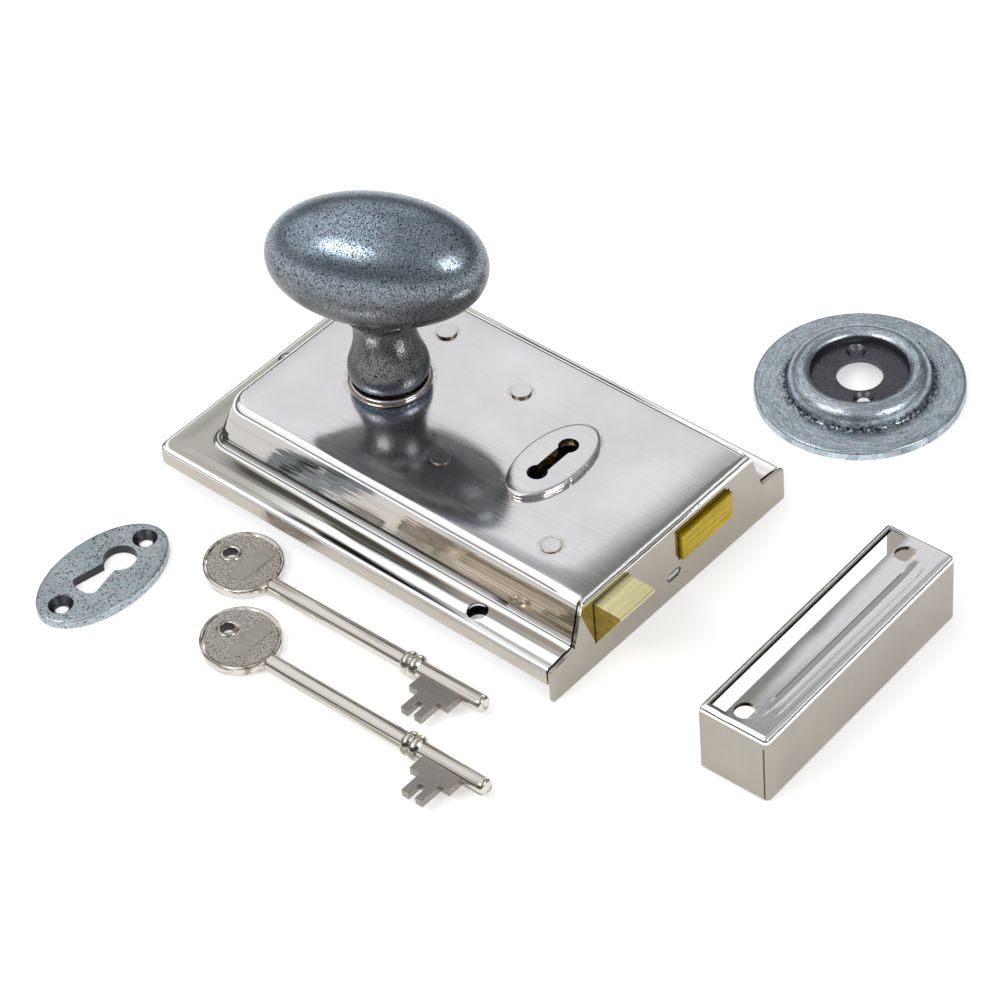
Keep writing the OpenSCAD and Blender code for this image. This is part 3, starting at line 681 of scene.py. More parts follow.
def wall_path(inset, corner, steps):
    """One U-shaped line round the case: near side, left end, far side."""
    left = inset * FOOT_LEFT / FOOT_INSET
    if inset >= FOOT_INSET:
        left = inset + FOOT_LEFT - FOOT_INSET
    x0, y0 = left - HALF_L, HALF_W - inset
    rise, quarter = y0 - corner, math.pi / 2
    end = TOP_END if inset > TOP_FACE_INSET else WALL_END
    run = [end - 3.0 + (x0 + corner - end + 3.0) * i / LINE_RUN for i in range(LINE_RUN)]
    side = [end - step for step in LEAD] + run
    line = [(x, -y0) for x in side]
    line += arc(x0 + corner, -rise, corner, -quarter, -quarter, steps)
    line += [(x0, -rise + 2.0 * rise * i / END_CUTS) for i in range(1, END_CUTS)]
    line += arc(x0 + corner, rise, corner, math.pi, -quarter, steps)
    return line + [(x, y0) for x in reversed(side)]


def crown(x, height):
    """How far the top rolls down towards the forend."""
    if x < CROWN_START or height < 20.5:
        return 0.0
    drop = CROWN_DROP * ((x - CROWN_START) / (HALF_L - CROWN_START)) ** 2
    over = max(0.0, x - HALF_L + BEND)
    return drop + BEND - math.sqrt(max(0.0, BEND ** 2 - over ** 2))


def case_body(settings, finishes):
    """The pressing as an outer skin, thickened inward."""
    verts, slots = [], []
    for inset, height in SECTION:
        if inset > TOP_INSET:
            corner = SIDE_CORNER - (inset - TOP_INSET)
        elif inset > FOOT_INSET:
            share = (inset - FOOT_INSET) / (TOP_INSET - FOOT_INSET)
            corner = FOOT_CORNER + (SIDE_CORNER - FOOT_CORNER) * share
        else:
            corner = settings.corner + (FOOT_CORNER - settings.corner) * inset / FOOT_INSET
        line = wall_path(inset, max(2.0, corner), settings.steps)
        verts += [(x, y, height - crown(x, height)) for x, y in line]
    count, rings = len(line), len(SECTION)
    side = len(LEAD) + LINE_RUN
    end_from = side + settings.steps - settings.steps // 2
    for k in range(rings - 1):
        slot = next((slot for end, slot in BANDS if k < end), TOP)
        for i in range(count - 1):
            at_end = end_from <= i < count - 1 - end_from
            slots.append(END_SLOPE if slot == FOLDS and at_end else slot)
    faces = bridge(rings, count, closed=False, flip=True)
    last = (rings - 1) * count
    for i in range(side - 1):
        a, b = last + i, last + count - 1 - i
        faces.append((a, b, b - 1, a + 1))
    faces.append(tuple(reversed(range(last + side - 1, last + count - side + 1))))
    slots += [TOP] * side
    piece = new_mesh("case_body", verts, faces, finishes, slots)
    weld(piece)
    thicken(piece, SHEET)
    return piece


# One side of the front plate as (inset, height, least way under the bend), in millimetres.
FOREND_SIDE = (
    (0.4, FLOOR_Z, 0.0), (0.0, FLOOR_Z + 0.4, 0.0), (0.0, 4.85, 0.0), (0.3, 5.4, 0.0),
    (1.0, 5.62, 0.0), (2.6, 5.66, 0.0), (5.4, 6.05, 0.0), (9.0, 6.2, 0.0), (10.1, 6.75, 0.0),
    (11.6, 11.3, 0.0), (13.25, 17.0, 0.0), (13.97, 19.5, 0.3), (14.7, 20.7, 0.12),
    (16.3, TOP_Z, 0.0),
)


def forend_outline(x):
    """The outline of the front plate at a depth; the round bend lowers its top."""
    top = TOP_Z - crown(x, TOP_Z)
    side = [(HALF_W - inset, min(z, top - under)) for inset, z, under in FOREND_SIDE]
    mirror = [(-y, z) for y, z in reversed(side)]
    return mirror[-1:] + side + mirror[:-1]


def forend_plate(finishes):
    """The folded front plate with its openings and the round bend at the top."""
    depths = (TOP_END, 75.2, 75.5, 75.72, 75.88, 75.97, HALF_L)
    verts = [(x, y, z) for x in depths for y, z in forend_outline(x)]
    count = len(verts) // len(depths)
    slots = [1, 1] + [0 if 11 < i < 18 else 1 for x in depths[1:] for i in range(count)]
    faces = ends(count, len(depths)) + bridge(len(depths), count)
    piece = new_mesh("forend", verts, faces, finishes, slots)
    x0, x1 = TOP_END - 2.0, HALF_L + 2.0
    latch_mouth = block((x0, x1), (-32.6, -17.2), (2.1, 17.7))
    bolt_mouth = block((x0, x1), (3.7, 26.7), (5.8, 16.1))
    points = keyhole_outline((1.9, 1.5), 1.6, 1.5, 1.499, steps=12)
    slot = prism("cutter", [(y, z) for z, y in points], x0, x1)
    slot.data.transform(Matrix(((0, 0, 1, 0), (1, 0, 0, 0), (0, 1, 0, 0), (0, 0, 0, 1))))
    weld(slot)
    return carve(piece, [latch_mouth, bolt_mouth, slot])


class RIM_OT_case(bpy.types.Operator):
    """Build the case with its flange, slopes and forend"""

    bl_idname = "rim_lock.case"
    bl_label = "Case"

    def execute(self, context):
        colours = context.scene.rim_finish
        folds = tuple(colours.folds)
        finishes = (
            satin_sheet("case_top_nickel", tuple(colours.sheet), 0.12, scratch=0.000004,
                        base_rings=BASE_RINGS, shade_the_end=True),
            polished_sheet("case_fold_nickel", folds, 0.07, warm_reflection_from=8.0),
            satin_sheet("case_skirt_nickel", shade(colours.warm_sheet_and_reflection, 1.15), 0.22),
            flange_sheet("case_flange_nickel", 0.08),
            polished_sheet("case_bend_nickel", FOLD_HIGHLIGHT, 0.08, share=0.1),
            polished_sheet("case_end_nickel", folds, 0.07, crosswise=True),
        )
        front = satin_sheet("forend_nickel", shade(colours.warm_sheet_and_reflection, 0.92), 0.08, (900, 60, 900),
                            scratch=0.000003)
        body = case_body(context.scene.rim_case, finishes)
        holes = [drill(x, y, SCREW_HOLE / 2, 2, 9) for x, y in FLANGE_HOLES]
        keyhole = prism("cutter", keyhole_outline(KEYHOLE, 6.8, 3.0, 1.9, 0.4), 18, 24)
        carve(body, holes + [keyhole])
        smooth(body, 40, 0.12)
        forend = forend_plate((finishes[ROLL], front))
        smooth(forend, 30, 0.15)
        settle(body)
        settle(forend)
        whole = joined("lock_case_sheet", [body, forend])
        stand_for(whole, "lock_case", "case_nickel", "case", "forend")
        return {"FINISHED"}


class RIM_OT_keyhole_plate(bpy.types.Operator):
    """Build the raised oval plate round the keyhole"""

    bl_idname = "rim_lock.keyhole_plate"
    bl_label = "Keyhole plate"

    def execute(self, context):
        colour = tuple(context.scene.rim_finish.sheet)
        finish = satin_sheet("keyhole_plate_nickel", shade(colour, 1.04), 0.15)
        rim = polished_sheet("keyhole_rim_nickel", colour, 0.1)
        plate = turned("keyhole_plate_body", PLATE_RINGS, KEYHOLE, TOP_Z + 0.03, 120, True,
                       (finish, rim), [1, 1, 1, 1, 0, 0], PLATE_HALVES)
        cutters = [prism("cutter", keyhole_outline(KEYHOLE, 6.8, 3.0, 1.9), 18, 26)]
        for side in (-1, 1):
            for y in (KEYHOLE[1] - 3.6, KEYHOLE[1] + 3.6):
                x = KEYHOLE[0] + side * 9.35
                cutters.append(block((x - 0.45, x + 0.45), (y - 0.3, y + 0.3), (18, 26)))
        carve(plate, cutters)
        smooth(plate, 40, 0.15)
        stand_for(plate, "lock_case", "case_nickel", "keyhole_plate")
        return {"FINISHED"}


# Knob


BLUNT = 0.94
FOOT_HEIGHT = 2.8
NECK = (
    (0.0, 0.0), (10.9, 0.0), (11.35, 0.25), (11.7, 0.9), (11.95, 1.8), (12.05, 2.8), (12.0, 4.0),
    (11.75, 5.4), (11.3, 6.8), (10.75, 8.3), (10.15, 10.2), (9.65, 12.2), (9.3, 14.2),
    (9.15, 16.2), (9.12, 18.0), (9.25, 19.6), (9.5, 21.0), (9.95, 22.2), (10.7, 23.4),
    (11.6, 24.4), (9.0, 28.0),
)


class RIM_OT_knob(bpy.types.Operator):
    """Build the egg shaped knob with its flared neck"""

    bl_idname = "rim_lock.knob"
    bl_label = "Knob"

    def execute(self, context):
        colour = tuple(context.scene.rim_finish.pewter)
        finish = pitted_pewter("knob_pewter", shade(colour, 1.34), (0.014, 0.016, 0.02), 0.25,
                               0.97, painted_low_shade=(60.0, 80.0, (0.18, 0.175, 0.16)))
        foot_finish = pitted_pewter("knob_foot_pewter", shade(colour, 0.8), (0.02, 0.022, 0.027),
                                    0.26, 0.35, 0.2)
        slots = [1 if height < FOOT_HEIGHT else 0 for radius, height in NECK[:-1]]
        neck = turned("knob_neck", NECK, SPINDLE, TOP_Z + 2.3, 128, False, (finish, foot_finish),
                      slots)
        weld(neck)
        smooth(neck, 50)
        settle(neck)
        head = ellipsoid("knob_head", context.scene.rim_knob, finish)
        whole = joined("knob_casting", [neck, head])
        stand_for(whole, "knob_body", "pewter_iron", "knob")
        return {"FINISHED"}


def ellipsoid(name, shape, finish, rings=64, steps=96):
    """The head: an egg on its side, made ring by ring along its long axis."""
    verts = []
    for k in range(1, rings):
        angle = math.pi * k / rings
        x = shape.half_length * math.cos(angle) / MM
        radius = shape.half_width * math.sin(angle) ** BLUNT / MM
        verts += [(x, y, z) for y, z in circle(0.0, 0.0, radius, steps)]
    faces = bridge(rings - 1, steps)
    tip, end = len(verts), len(verts) - steps
    verts += [(shape.half_length / MM, 0, 0), (-shape.half_length / MM, 0, 0)]
    for i in range(steps):
        j = (i + 1) % steps
        faces += [(tip, j, i), (tip + 1, end + i, end + j)]
    head = new_mesh(name, verts, faces, (finish,))
    place = Matrix.Translation((SPINDLE[0] * MM, SPINDLE[1] * MM, shape.height))
    head.data.transform(place @ Matrix.Rotation(shape.turn, 4, "Z"))
    head.data.shade_smooth()
    weld(head)
    return head


NECK_RING = (
    (7.5, 0.0), (12.4, 0.0), (12.4, 0.45), (12.32, 0.75), (12.1, 1.05), (11.75, 1.25),
    (11.4, 1.3), (10.9, 1.22), (10.3, 1.05), (9.4, 0.95), (7.5, 0.9), (7.5, 0.0),
)


class RIM_OT_collar(bpy.types.Operator):
    """Build the thin ring under the knob"""

    bl_idname = "rim_lock.collar"
    bl_label = "Neck collar"

    def execute(self, context):
        finish = polished_sheet("collar_nickel", shade(context.scene.rim_finish.folds, 0.95), 0.12)
        ring = turned("collar_ring", NECK_RING, SPINDLE, TOP_Z + 0.03, 128, False, (finish,))
        weld(ring)
        smooth(ring, 50)
        stand_for(ring, "lock_case", "case_nickel", "neck_collar")
        return {"FINISHED"}


# Bolts


LATCH_SIDES = (-32.3, -17.5)
LATCH_SECTION = ((68.0, 2.4), (76.3, 2.4), (85.7, 16.4), (85.7, 17.4), (68.0, 17.4))


class RIM_OT_bolts(bpy.types.Operator):
    """Build the brass latch and deadbolt"""

    bl_idname = "rim_lock.bolts"
    bl_label = "Bolts"

    def execute(self, context):
        colours = context.scene.rim_finish
        latch, gold = tuple(colours.latch), tuple(colours.deadbolt)
        brass = brushed_brass("latch_brass", latch, shade(latch, 0.72), 0.3, (900, 25, 900))
        side = brushed_brass("latch_side_brass", (0.52, 0.39, 0.08), (0.38, 0.28, 0.05), 0.33,
                             (300, 300, 500))
        count = len(LATCH_SECTION)
        verts = [(x, y, z) for y in LATCH_SIDES for x, z in LATCH_SECTION]
        faces = [tuple(reversed(face)) for face in ends(count)] + bridge(2, count, flip=True)
        piece = new_mesh("latch_head", verts, faces, (brass, side), [1, 1] + [0] * count)
        weld(piece)
        carve(piece, [block((60, 74.05), (-40, -10), (5.95, 8.05))])
        smooth(piece, 30, 0.22)
        stand_for(piece, "latch_body", "bolt_brass", "latch_bolt")
        brass = brushed_brass("deadbolt_brass", gold, shade(gold, 0.6), 0.28, (200, 90, 1500))
        bolt = block((52.0, 77.5), (4.0, 26.4), (6.1, 15.8))
        bolt.name = "deadbolt_head"
        bolt.data.materials.append(brass)
        carve(bolt, [block((50, 62.05), (0, 30), (10.25, 12.35))])
        smooth(bolt, 30, 0.45, 4)
        stand_for(bolt, "deadbolt_body", "bolt_brass", "deadbolt")
        return {"FINISHED"}


# Keep


class RIM_OT_keep(bpy.types.Operator):
    """Build the folded box keep"""

    bl_idname = "rim_lock.keep"
    bl_label = "Keep"

    def execute(self, context):
        finishes = (
            satin_sheet("keep_wall_nickel", shade(context.scene.rim_finish.warm_sheet_and_reflection, 0.9), 0.12,
                        (60, 60, 900)),
            keep_top_reflection_sheet("keep_face_nickel", 0.1),
            polished_sheet("keep_bend_nickel", FOLD_HIGHLIGHT, 0.09, share=0.1),
        )
        width, length, height = KEEP_SIZE
        piece = keep_skin(width, length, height, finishes)
        thicken(piece, KEEP_SHEET)
        slot = block((1.8, 6.8), (2.6, length - 2.6), (height - 5, height + 2))
        holes = [drill(10.7, y, 2.95, height - 5, height + 3) for y in (5.9, 78.3)]
        seam = block((width - 1.45, width - 1.0), (-1, 0.6), (-1, height - 3.5))
        carve(piece, [slot, *holes, seam])
        smooth(piece, 38, 0.18)
        turn = Matrix.Rotation(math.radians(KEEP_TURN), 4, "Z")
        place = Matrix.Translation(Vector((KEEP[0], KEEP[1], FLOOR_Z)) * MM)
        piece.data.transform(place @ turn @ Matrix.Translation((-width * MM, 0, 0)))
        stand_for(piece, "keep_body", "keep_nickel", "keep")
        return {"FINISHED"}


KEEP_FOLD = 1.7
KEEP_GLUE = 0.00006
KEEP_RINGS = (
    (1.0, 0.0), (0.3, 0.3), (0.0, 1.0), (0.0, 12.0), (0.0, 22.1), (0.06, 22.55), (0.23, 22.95),
    (0.5, 23.3), (0.85, 23.57), (1.25, 23.74), (KEEP_FOLD, 23.8),
)
# The pressed crease across the keep's top, as (place, drop).
CREASE = ((14.2, 0.0), (14.35, -0.18), (14.5, -0.12), (15.6, -0.46), (15.75, -0.62), (15.95, -0.1),
          (16.3, 0.02), (18.3, 0.0), (18.45, -0.14), (18.65, 0.0))
KEEP_ACROSS = (0.0, 0.35, 1.2, 1.8, 4.0, 6.8, 8.3, 9.8, 11.3, 12.8, 13.8) + tuple(
    x for x, drop in CREASE) + (19.2, 19.9, 20.6)
KEEP_ALONG = (1.7, 4.5, 7.5, 9.0, 10.5, 12.5, 15.0, 20.0, 30.0, 43.0, 56.0, 66.0, 71.0, 73.5, 75.5,
              77.0, 78.5, 81.5, 84.4)


def keep_drop(x, y, length):
    """How far the top of the keep lies under its highest level."""
    drop = 0.0
    if x < 1.0:
        drop = -0.5 * (1.0 - x) ** 2
    if 6.0 < x < 13.0:
        drop -= 0.3 * ((13.0 - x) / 7.0) ** 2
    reach = min(y, length - y)
    share = min(1.0, max(0.0, (reach - 8.0) / 7.0))
    crease = dict(CREASE).get(x, 0.0)
    return drop + crease * share * share * (3.0 - 2.0 * share)


def keep_skin(width, length, height, finishes):
    """The outer skin of the keep: three walls, rounded folds and the creased top."""
    verts = []
    steps, quarter = 6, math.pi / 2
    for inset, z in KEEP_RINGS:
        radius, x = KEEP_FOLD - inset, width - KEEP_FOLD
        line = [(x, inset) for x in KEEP_ACROSS]
        line += arc(x, KEEP_FOLD, radius, -quarter, quarter, steps)[1:-1]
        line += [(width - inset, y) for y in KEEP_ALONG]
        line += arc(x, length - KEEP_FOLD, radius, 0.0, quarter, steps)[1:-1]
        line += [(x, length - inset) for x in reversed(KEEP_ACROSS)]
        share = max(0.0, (z - height) / KEEP_FOLD + 1.0)
        verts += [(x, y, z + share * keep_drop(x, y, length)) for x, y in line]
    count, start = len(line), len(verts)
    verts += [(x, y, height + keep_drop(x, y, length)) for y in KEEP_ALONG for x in KEEP_ACROSS]
    faces = ends(count)[:1] + bridge(len(KEEP_RINGS), count, closed=False)
    slots = [0] + [0 if k < 4 else 2 for k in range(len(KEEP_RINGS) - 1)
                   for i in range(count - 1)]
    faces += bridge(len(KEEP_ALONG), len(KEEP_ACROSS), closed=False, start=start)
    slots += [2 if x < 1.2 else 1 for y in KEEP_ALONG[1:] for x in KEEP_ACROSS[:-1]]
    piece = new_mesh("keep_box", verts, faces, finishes, slots)
    weld(piece, KEEP_GLUE)
    return piece


# Rose and escutcheon


ROSE_RINGS = (
    (13.2, 0.0), (31.2, 0.0), (31.4, 0.25), (31.4, 2.0), (31.25, 2.5), (30.9, 2.82), (30.3, 3.0),
    (27.0, 3.02), (24.0, 3.08), (22.8, 3.15), (22.2, 3.3), (21.85, 3.7), (21.65, 4.4), (21.4, 5.4),
    (20.95, 6.6), (20.2, 7.7), (19.2, 8.5), (18.1, 8.95), (17.1, 9.1), (16.1, 8.95), (15.3, 8.5),
    (14.7, 7.9), (14.4, 7.2), (14.3, 6.2), (14.25, 5.6), (11.0, 5.6), (7.2, 5.6), (6.95, 5.4),
    (6.95, 4.1), (12.8, 4.1), (13.2, 3.7), (13.2, 0.0),
)
OUTER_RINGS = 21


def sunk_holes(places, radius, wide, low, high, end, metal):
    """Cutters up to end for through holes, countersunk from low to high above the floor."""
    cutters = []
    for x, y in places:
        cutters.append(drill(x, y, radius, FLOOR_Z - 2, FLOOR_Z + end))
        cutters.append(countersink(x, y, radius, wide, FLOOR_Z + low, FLOOR_Z + high))
    for cutter in cutters:
        cutter.data.materials.append(metal)
    return cutters


class RIM_OT_rose(bpy.types.Operator):
    """Build the round rose"""

    bl_idname = "rim_lock.rose"
    bl_label = "Rose"

    def execute(self, context):
        colour = tuple(context.scene.rim_finish.pewter)
        outer = pitted_pewter("rose_pewter", shade3(colour, 1.95, 1.86, 1.72),
                              (0.025, 0.027, 0.032), 0.3, 0.3, 0.25, (ROSE, 0.5, 21.9, 25.0))
        inner = pitted_pewter("rose_recess_pewter", (0.13, 0.13, 0.145), (0.02, 0.02, 0.02),
                              0.4, 0.4, 0.3)
        slots = [0] * OUTER_RINGS + [1] * (len(ROSE_RINGS) - 1 - OUTER_RINGS)
        piece = turned("rose_casting", ROSE_RINGS, ROSE, FLOOR_Z, 160, False, (outer, inner), slots)
        weld(piece)
        angles = [math.radians(angle) for angle in (-47.0, 133.0)]
        places = [(ROSE[0] + 10.6 * math.cos(a), ROSE[1] + 10.6 * math.sin(a)) for a in angles]
        carve(piece, sunk_holes(places, 1.9, 3.2, 4.4, 5.7, 9, inner))
        smooth(piece, 45)
        stand_for(piece, "rose_body", "pewter_iron", "rose")
        return {"FINISHED"}


ESC_SLOT = ((-2.3, 4.0), (-2.45, 2.0), (-2.75, 0.4), (-4.3, -6.6), (-4.25, -7.5), (-3.5, -8.5),
            (-2.0, -9.15), (0.0, -9.35), (2.0, -9.15), (3.5, -8.5), (4.25, -7.5), (4.3, -6.6),
            (2.75, 0.4), (2.45, 2.0), (2.3, 4.0))
ESC_HALVES = (13.9, 23.1)
ESC_RINGS = ((0.985, 0.0), (1.0, 0.3), (1.0, 2.3), (0.992, 2.65), (0.972, 2.88), (0.94, 3.0),
             (0.85, 3.0))


class RIM_OT_escutcheon(bpy.types.Operator):
    """Build the oval escutcheon"""

    bl_idname = "rim_lock.escutcheon"
    bl_label = "Escutcheon"

    def execute(self, context):
        colour = tuple(context.scene.rim_finish.pewter)
        finish = pitted_pewter("escutcheon_pewter", shade3(colour, 1.75, 1.65, 1.47),
                               (0.03, 0.033, 0.038), 0.36, 0.3, 1.0)
        bore = pitted_pewter("escutcheon_bore", (0.06, 0.062, 0.066), (0.02, 0.02, 0.02),
                             0.35, 0.4, 0.3)
        piece = turned("escutcheon_plate", ESC_RINGS, ESCUTCHEON, FLOOR_Z, 144, True,
                       (finish, bore), scale=ESC_HALVES)
        x, y = ESCUTCHEON
        low, high = FLOOR_Z - 2, FLOOR_Z + 5
        cutters = [drill(x, y + 7.1, 5.0, low, high, 64),
                   prism("cutter", [(x + dx, y + dy) for dx, dy in ESC_SLOT], low, high)]
        for cutter in cutters:
            cutter.data.materials.append(bore)
        places = ((x, y - 16.6), (x, y + 17.2))
        carve(piece, cutters + sunk_holes(places, 2.1, 3.75, 1.4, 3.05, 5, bore))
        smooth(piece, 40, 0.18)
        stand_for(piece, "escutcheon_body", "pewter_iron", "escutcheon")
        return {"FINISHED"}


# Keys


COLLAR = ((2.6, -0.3), (3.0, 0.0), (3.4, 0.4), (3.62, 1.0), (3.6, 1.6), (3.3, 2.2), (2.95, 2.55),
          (3.0, 2.8), (3.4, 3.1), (3.7, 3.7), (3.75, 4.3), (3.6, 4.9), (3.2, 5.4), (2.6, 5.9))
SHAFT = ((0.0, -16.9), (1.5, -16.8), (2.2, -16.4), (2.55, -15.8), (2.65, -15.0), (2.65, 63.3),
         (2.6, 64.0), (2.35, 64.55), (1.95, 64.85), (0.0, 64.9))
COLLAR_START = 35.8
BOW_HALF = 1.31
BOW_RINGS = (
    (0.6, -1.31), (0.95, -1.31), (0.985, -1.16), (1.0, -0.81), (1.0, 1.11), (0.99, 1.41),
    (0.965, 1.61), (0.935, 1.64), (0.905, 1.53), (0.89, 1.31), (0.87, 1.25), (0.6, 1.25),
)
BOW = (-28.3, 1.3, 0.0)
BOW_TURN = -26.4
BOW_HALVES = (12.9, 11.7)
EYE = (-34.0, 1.8)
EYE_HOLE = 4.0
EYE_RINGS = ((1.98, -1.33), (2.0, 1.41), (2.15, 1.61), (2.5, 1.71), (2.9, 1.66), (3.2, 1.46),
             (3.35, 1.21))
BIT = ((43.6, 0), (43.6, -7.5), (47.3, -7.5), (47.3, -14.8), (49.8, -14.8), (49.8, -10.1),
       (52.2, -10.1), (52.2, -14.8), (54.7, -14.8), (54.7, -7.5), (57.8, -7.5), (57.8, 0))


def lengthways(name, profile, offset, metal):
    """A (radius, place) profile turned about the X axis."""
    steps = 48
    verts = [(place + offset, y, z)
             for radius, place in profile for y, z in circle(0.0, 0.0, radius, steps)]
    return new_mesh(name, verts, bridge(len(profile), steps, flip=True), (metal,))


def key_piece(name, finishes, shift):
    """One key in its own flat frame, then laid on the floor."""
    metal, stipple, bit_metal, panel_metal, eye_wall_shade = finishes
    bow = turned(name + "_bow", BOW_RINGS, (0.0, 0.0), 0.0, 96, True, (metal, stipple),
                 [1, 0, 0, 0, 0, 0, 0, 0, 0, 1, 1], BOW_HALVES)
    spin = Matrix.Rotation(math.radians(BOW_TURN), 4, "Z")
    bow.data.transform(Matrix.Translation(Vector(BOW) * MM) @ spin)
    carve(bow, [drill(*EYE, EYE_HOLE / 2, -5, 5)])
    panel = arc(-25.6, 7.4, 2.8, 0.0, math.pi, 16) + arc(-25.6, -2.6, 2.8, math.pi, math.pi, 16)
    parts = [
        bow,
        # The eye's inner wall takes the painted shadow.
        turned(name + "_eye", EYE_RINGS, EYE, 0.0, 48, False, (metal, eye_wall_shade),
               [1, 0, 0, 0, 0, 0]),
        prism(name + "_panel", panel, BOW_HALF - 0.4, BOW_HALF + 0.16, (panel_metal,)),
        lengthways(name + "_turned", SHAFT, 0.0, metal),
        lengthways(name + "_turned", COLLAR, COLLAR_START, metal),
        prism(name + "_bit", BIT, -1.25, 1.25, (bit_metal,)),
    ]
    for part in parts:
        weld(part)
        smooth(part, 40, 0.0 if "turned" in part.name else 0.15)
        settle(part)
    key = joined(name + "_casting", parts)
    root = Vector((KEY_LEFT + shift[0], KEY_AXIS_Y + shift[1], FLOOR_Z + BOW_HALF + 0.02)) * MM
    tilt = Matrix.Rotation(-math.radians(KEY_TILT), 4, "Y")
    level = Matrix.Translation((-KEY_LEFT * MM, 0, 0))
    key.data.transform(Matrix.Translation(root) @ tilt @ level)
    return key


class RIM_OT_keys(bpy.types.Operator):
    """Build the two keys"""

    bl_idname = "rim_lock.keys"
    bl_label = "Keys"

    def execute(self, context):
        colour = tuple(context.scene.rim_finish.key)
        finishes = (
            # Painted reflection: strong dark streaks along the key nickel.
            polished_sheet("key_nickel", shade(colour, 1.08), 0.07, (0.15, 0.12, 0.075), 0.75,
                           0.00001),
            stippled_nickel("key_bow_stipple", shade(colour, 1.15), (0.12, 0.1, 0.08), 0.34),
            satin_sheet("key_bit_nickel", shade(colour, 0.5), 0.3),
            satin_sheet("key_panel_nickel", shade(colour, 0.7), 0.36),
            # Painted shadow: the inner wall of each key's eye is nearly black.
            plain_steel("key_eye_painted_shadow", shade(colour, 0.16), 0.4),
        )
        for name, shift in (("key_1", (0.0, 0.0)), ("key_2", KEY_SHIFT)):
            key = key_piece(f"lever_{name}", finishes, shift)
            stand_for(key, f"{name}_body", "key_nickel", name)
        return {"FINISHED"}


# Pieces that keep their CAD shape


LEAF_ROOT = -20.0
LEAF_CUTS = 8
NEAR_HEAD = 0.35
FAR_HEAD = 0.8
POSTS = ("lever_pivot_post", "bolt_guide_post", "spacer_post", "latch_guide_post")


class RIM_OT_rivets(bpy.types.Operator):
    """Build the four rivets whose flat heads show on the top"""

    bl_idname = "rim_lock.rivets"
    bl_label = "Rivets"

    def execute(self, context):
        face = satin_sheet("rivet_nickel", shade(context.scene.rim_finish.sheet, 0.96), 0.16)
        rim = satin_sheet("rivet_rim_nickel", (0.26, 0.21, 0.17), 0.3)
        for name in POSTS:
            piece, mesh = cad_copy(name, "_rivet", (face, rim))
            middle = sum(v.co.y for v in mesh.verts) / len(mesh.verts)
            level = TOP_Z + (NEAR_HEAD if middle < 0.0 else FAR_HEAD)
            for vert in mesh.verts:
                vert.co.z = min(vert.co.z, level * MM)
            for side in mesh.faces:
                side.normal_update()
                side.material_index = 1 if abs(side.normal.z) < 0.7 else 0
            mesh.to_mesh(piece.data)
            mesh.free()
            smooth(piece, 35, 0.12)
            stand_for(piece, "lock_case", "case_nickel", name)
        return {"FINISHED"}


# For each flat spring: the body its fixed part follows, the body its free part follows, and
# the two points, in millimetres, between which it bends.
SPRINGS = {
    "latch_spring": ("lock_case", "latch_body", (-56.2, 0.0, 0.0), (-44.85, 2.27, 0.0)),
    **{f"lever_spring_{n}": (f"lever_{n}_body", "lock_case", (LEAF_ROOT + 4.0, 28.0, 0.0),
                             (LEAF_ROOT + 31.0, 28.0, 0.0)) for n in (1, 2, 3)},
}


class RIM_OT_springs(bpy.types.Operator):
    """Build the flat springs, each cut across into short steps between its two points"""

    bl_idname = "rim_lock.springs"
    bl_label = "Springs"

    def execute(self, context):
        finish = plain_steel("spring_steel", (0.3, 0.32, 0.36), 0.3)
        for name, (first, second, start, end) in SPRINGS.items():
            piece, mesh = cad_copy(name, "_leaf", (finish,))
            for step in range(1, LEAF_CUTS):
                x = (start[0] + (end[0] - start[0]) * step / LEAF_CUTS) * MM
                geometry = [*mesh.verts, *mesh.edges, *mesh.faces]
                bmesh.ops.bisect_plane(mesh, geom=geometry, plane_co=(x, 0.0, 0.0),
                                       plane_no=(1.0, 0.0, 0.0), dist=0.000001)
            mesh.to_mesh(piece.data)
            mesh.free()
            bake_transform(piece)
            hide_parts(name)
        return {"FINISHED"}


class RIM_OT_inner(bpy.types.Operator):
    """Give the carried-over pieces their finishes"""

    bl_idname = "rim_lock.inner"
    bl_label = "Inner pieces"

    def execute(self, context):
        levers = brushed_brass("lever_brass", (0.6, 0.45, 0.16), (0.42, 0.3, 0.09), 0.34,
                               (60, 500, 500))
        follower = brushed_brass("follower_brass", (0.55, 0.45, 0.22), (0.4, 0.3, 0.12), 0.36,
                                 (300, 300, 300))
        groups = (
            (levers, ("lever_1", "lever_2", "lever_3")),
            (follower, ("follower",)),
            (plain_steel("dark_steel", (0.05, 0.05, 0.055), 0.4), ("grub_screw",)),
            (plain_steel("inner_steel", (0.5, 0.5, 0.51), 0.34), (
                "cap_screws", "lever_washers", "spring_rivet", "spindle", "latch_bar",
                "latch_rivets", "deadbolt_tail", "deadbolt_rivets", "bolt_stump")),
            (satin_sheet("back_steel", (0.52, 0.52, 0.53), 0.3), ("back_plate",)),
        )
        for finish, names in groups:
            for name in names:
                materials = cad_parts[name].data.materials
                materials.clear()
                materials.append(finish)
        return {"FINISHED"}


# Stage


def visible_rays(tree):
    """One where a ray comes from the camera, a reflection or a transmission."""
    rays = add_node(tree, "LightPath").outputs
    total = rays["Is Camera Ray"]
    for name in ("Is Glossy Ray", "Is Transmission Ray"):
        node = add_node(tree, "Math", {0: total, 1: rays[name]}, operation="MAXIMUM")
        total = node.outputs["Value"]
    return total


# The camera fitted to the case corners: the point it looks at, in millimetres, its sensor width
# and how far the picture's middle lies off the lens axis, in picture widths.
CAMERA_AIM = (11.978, -5.83, 0.0)
SENSOR = 36.0
LENS_SHIFT = (0.01475, -0.00101)
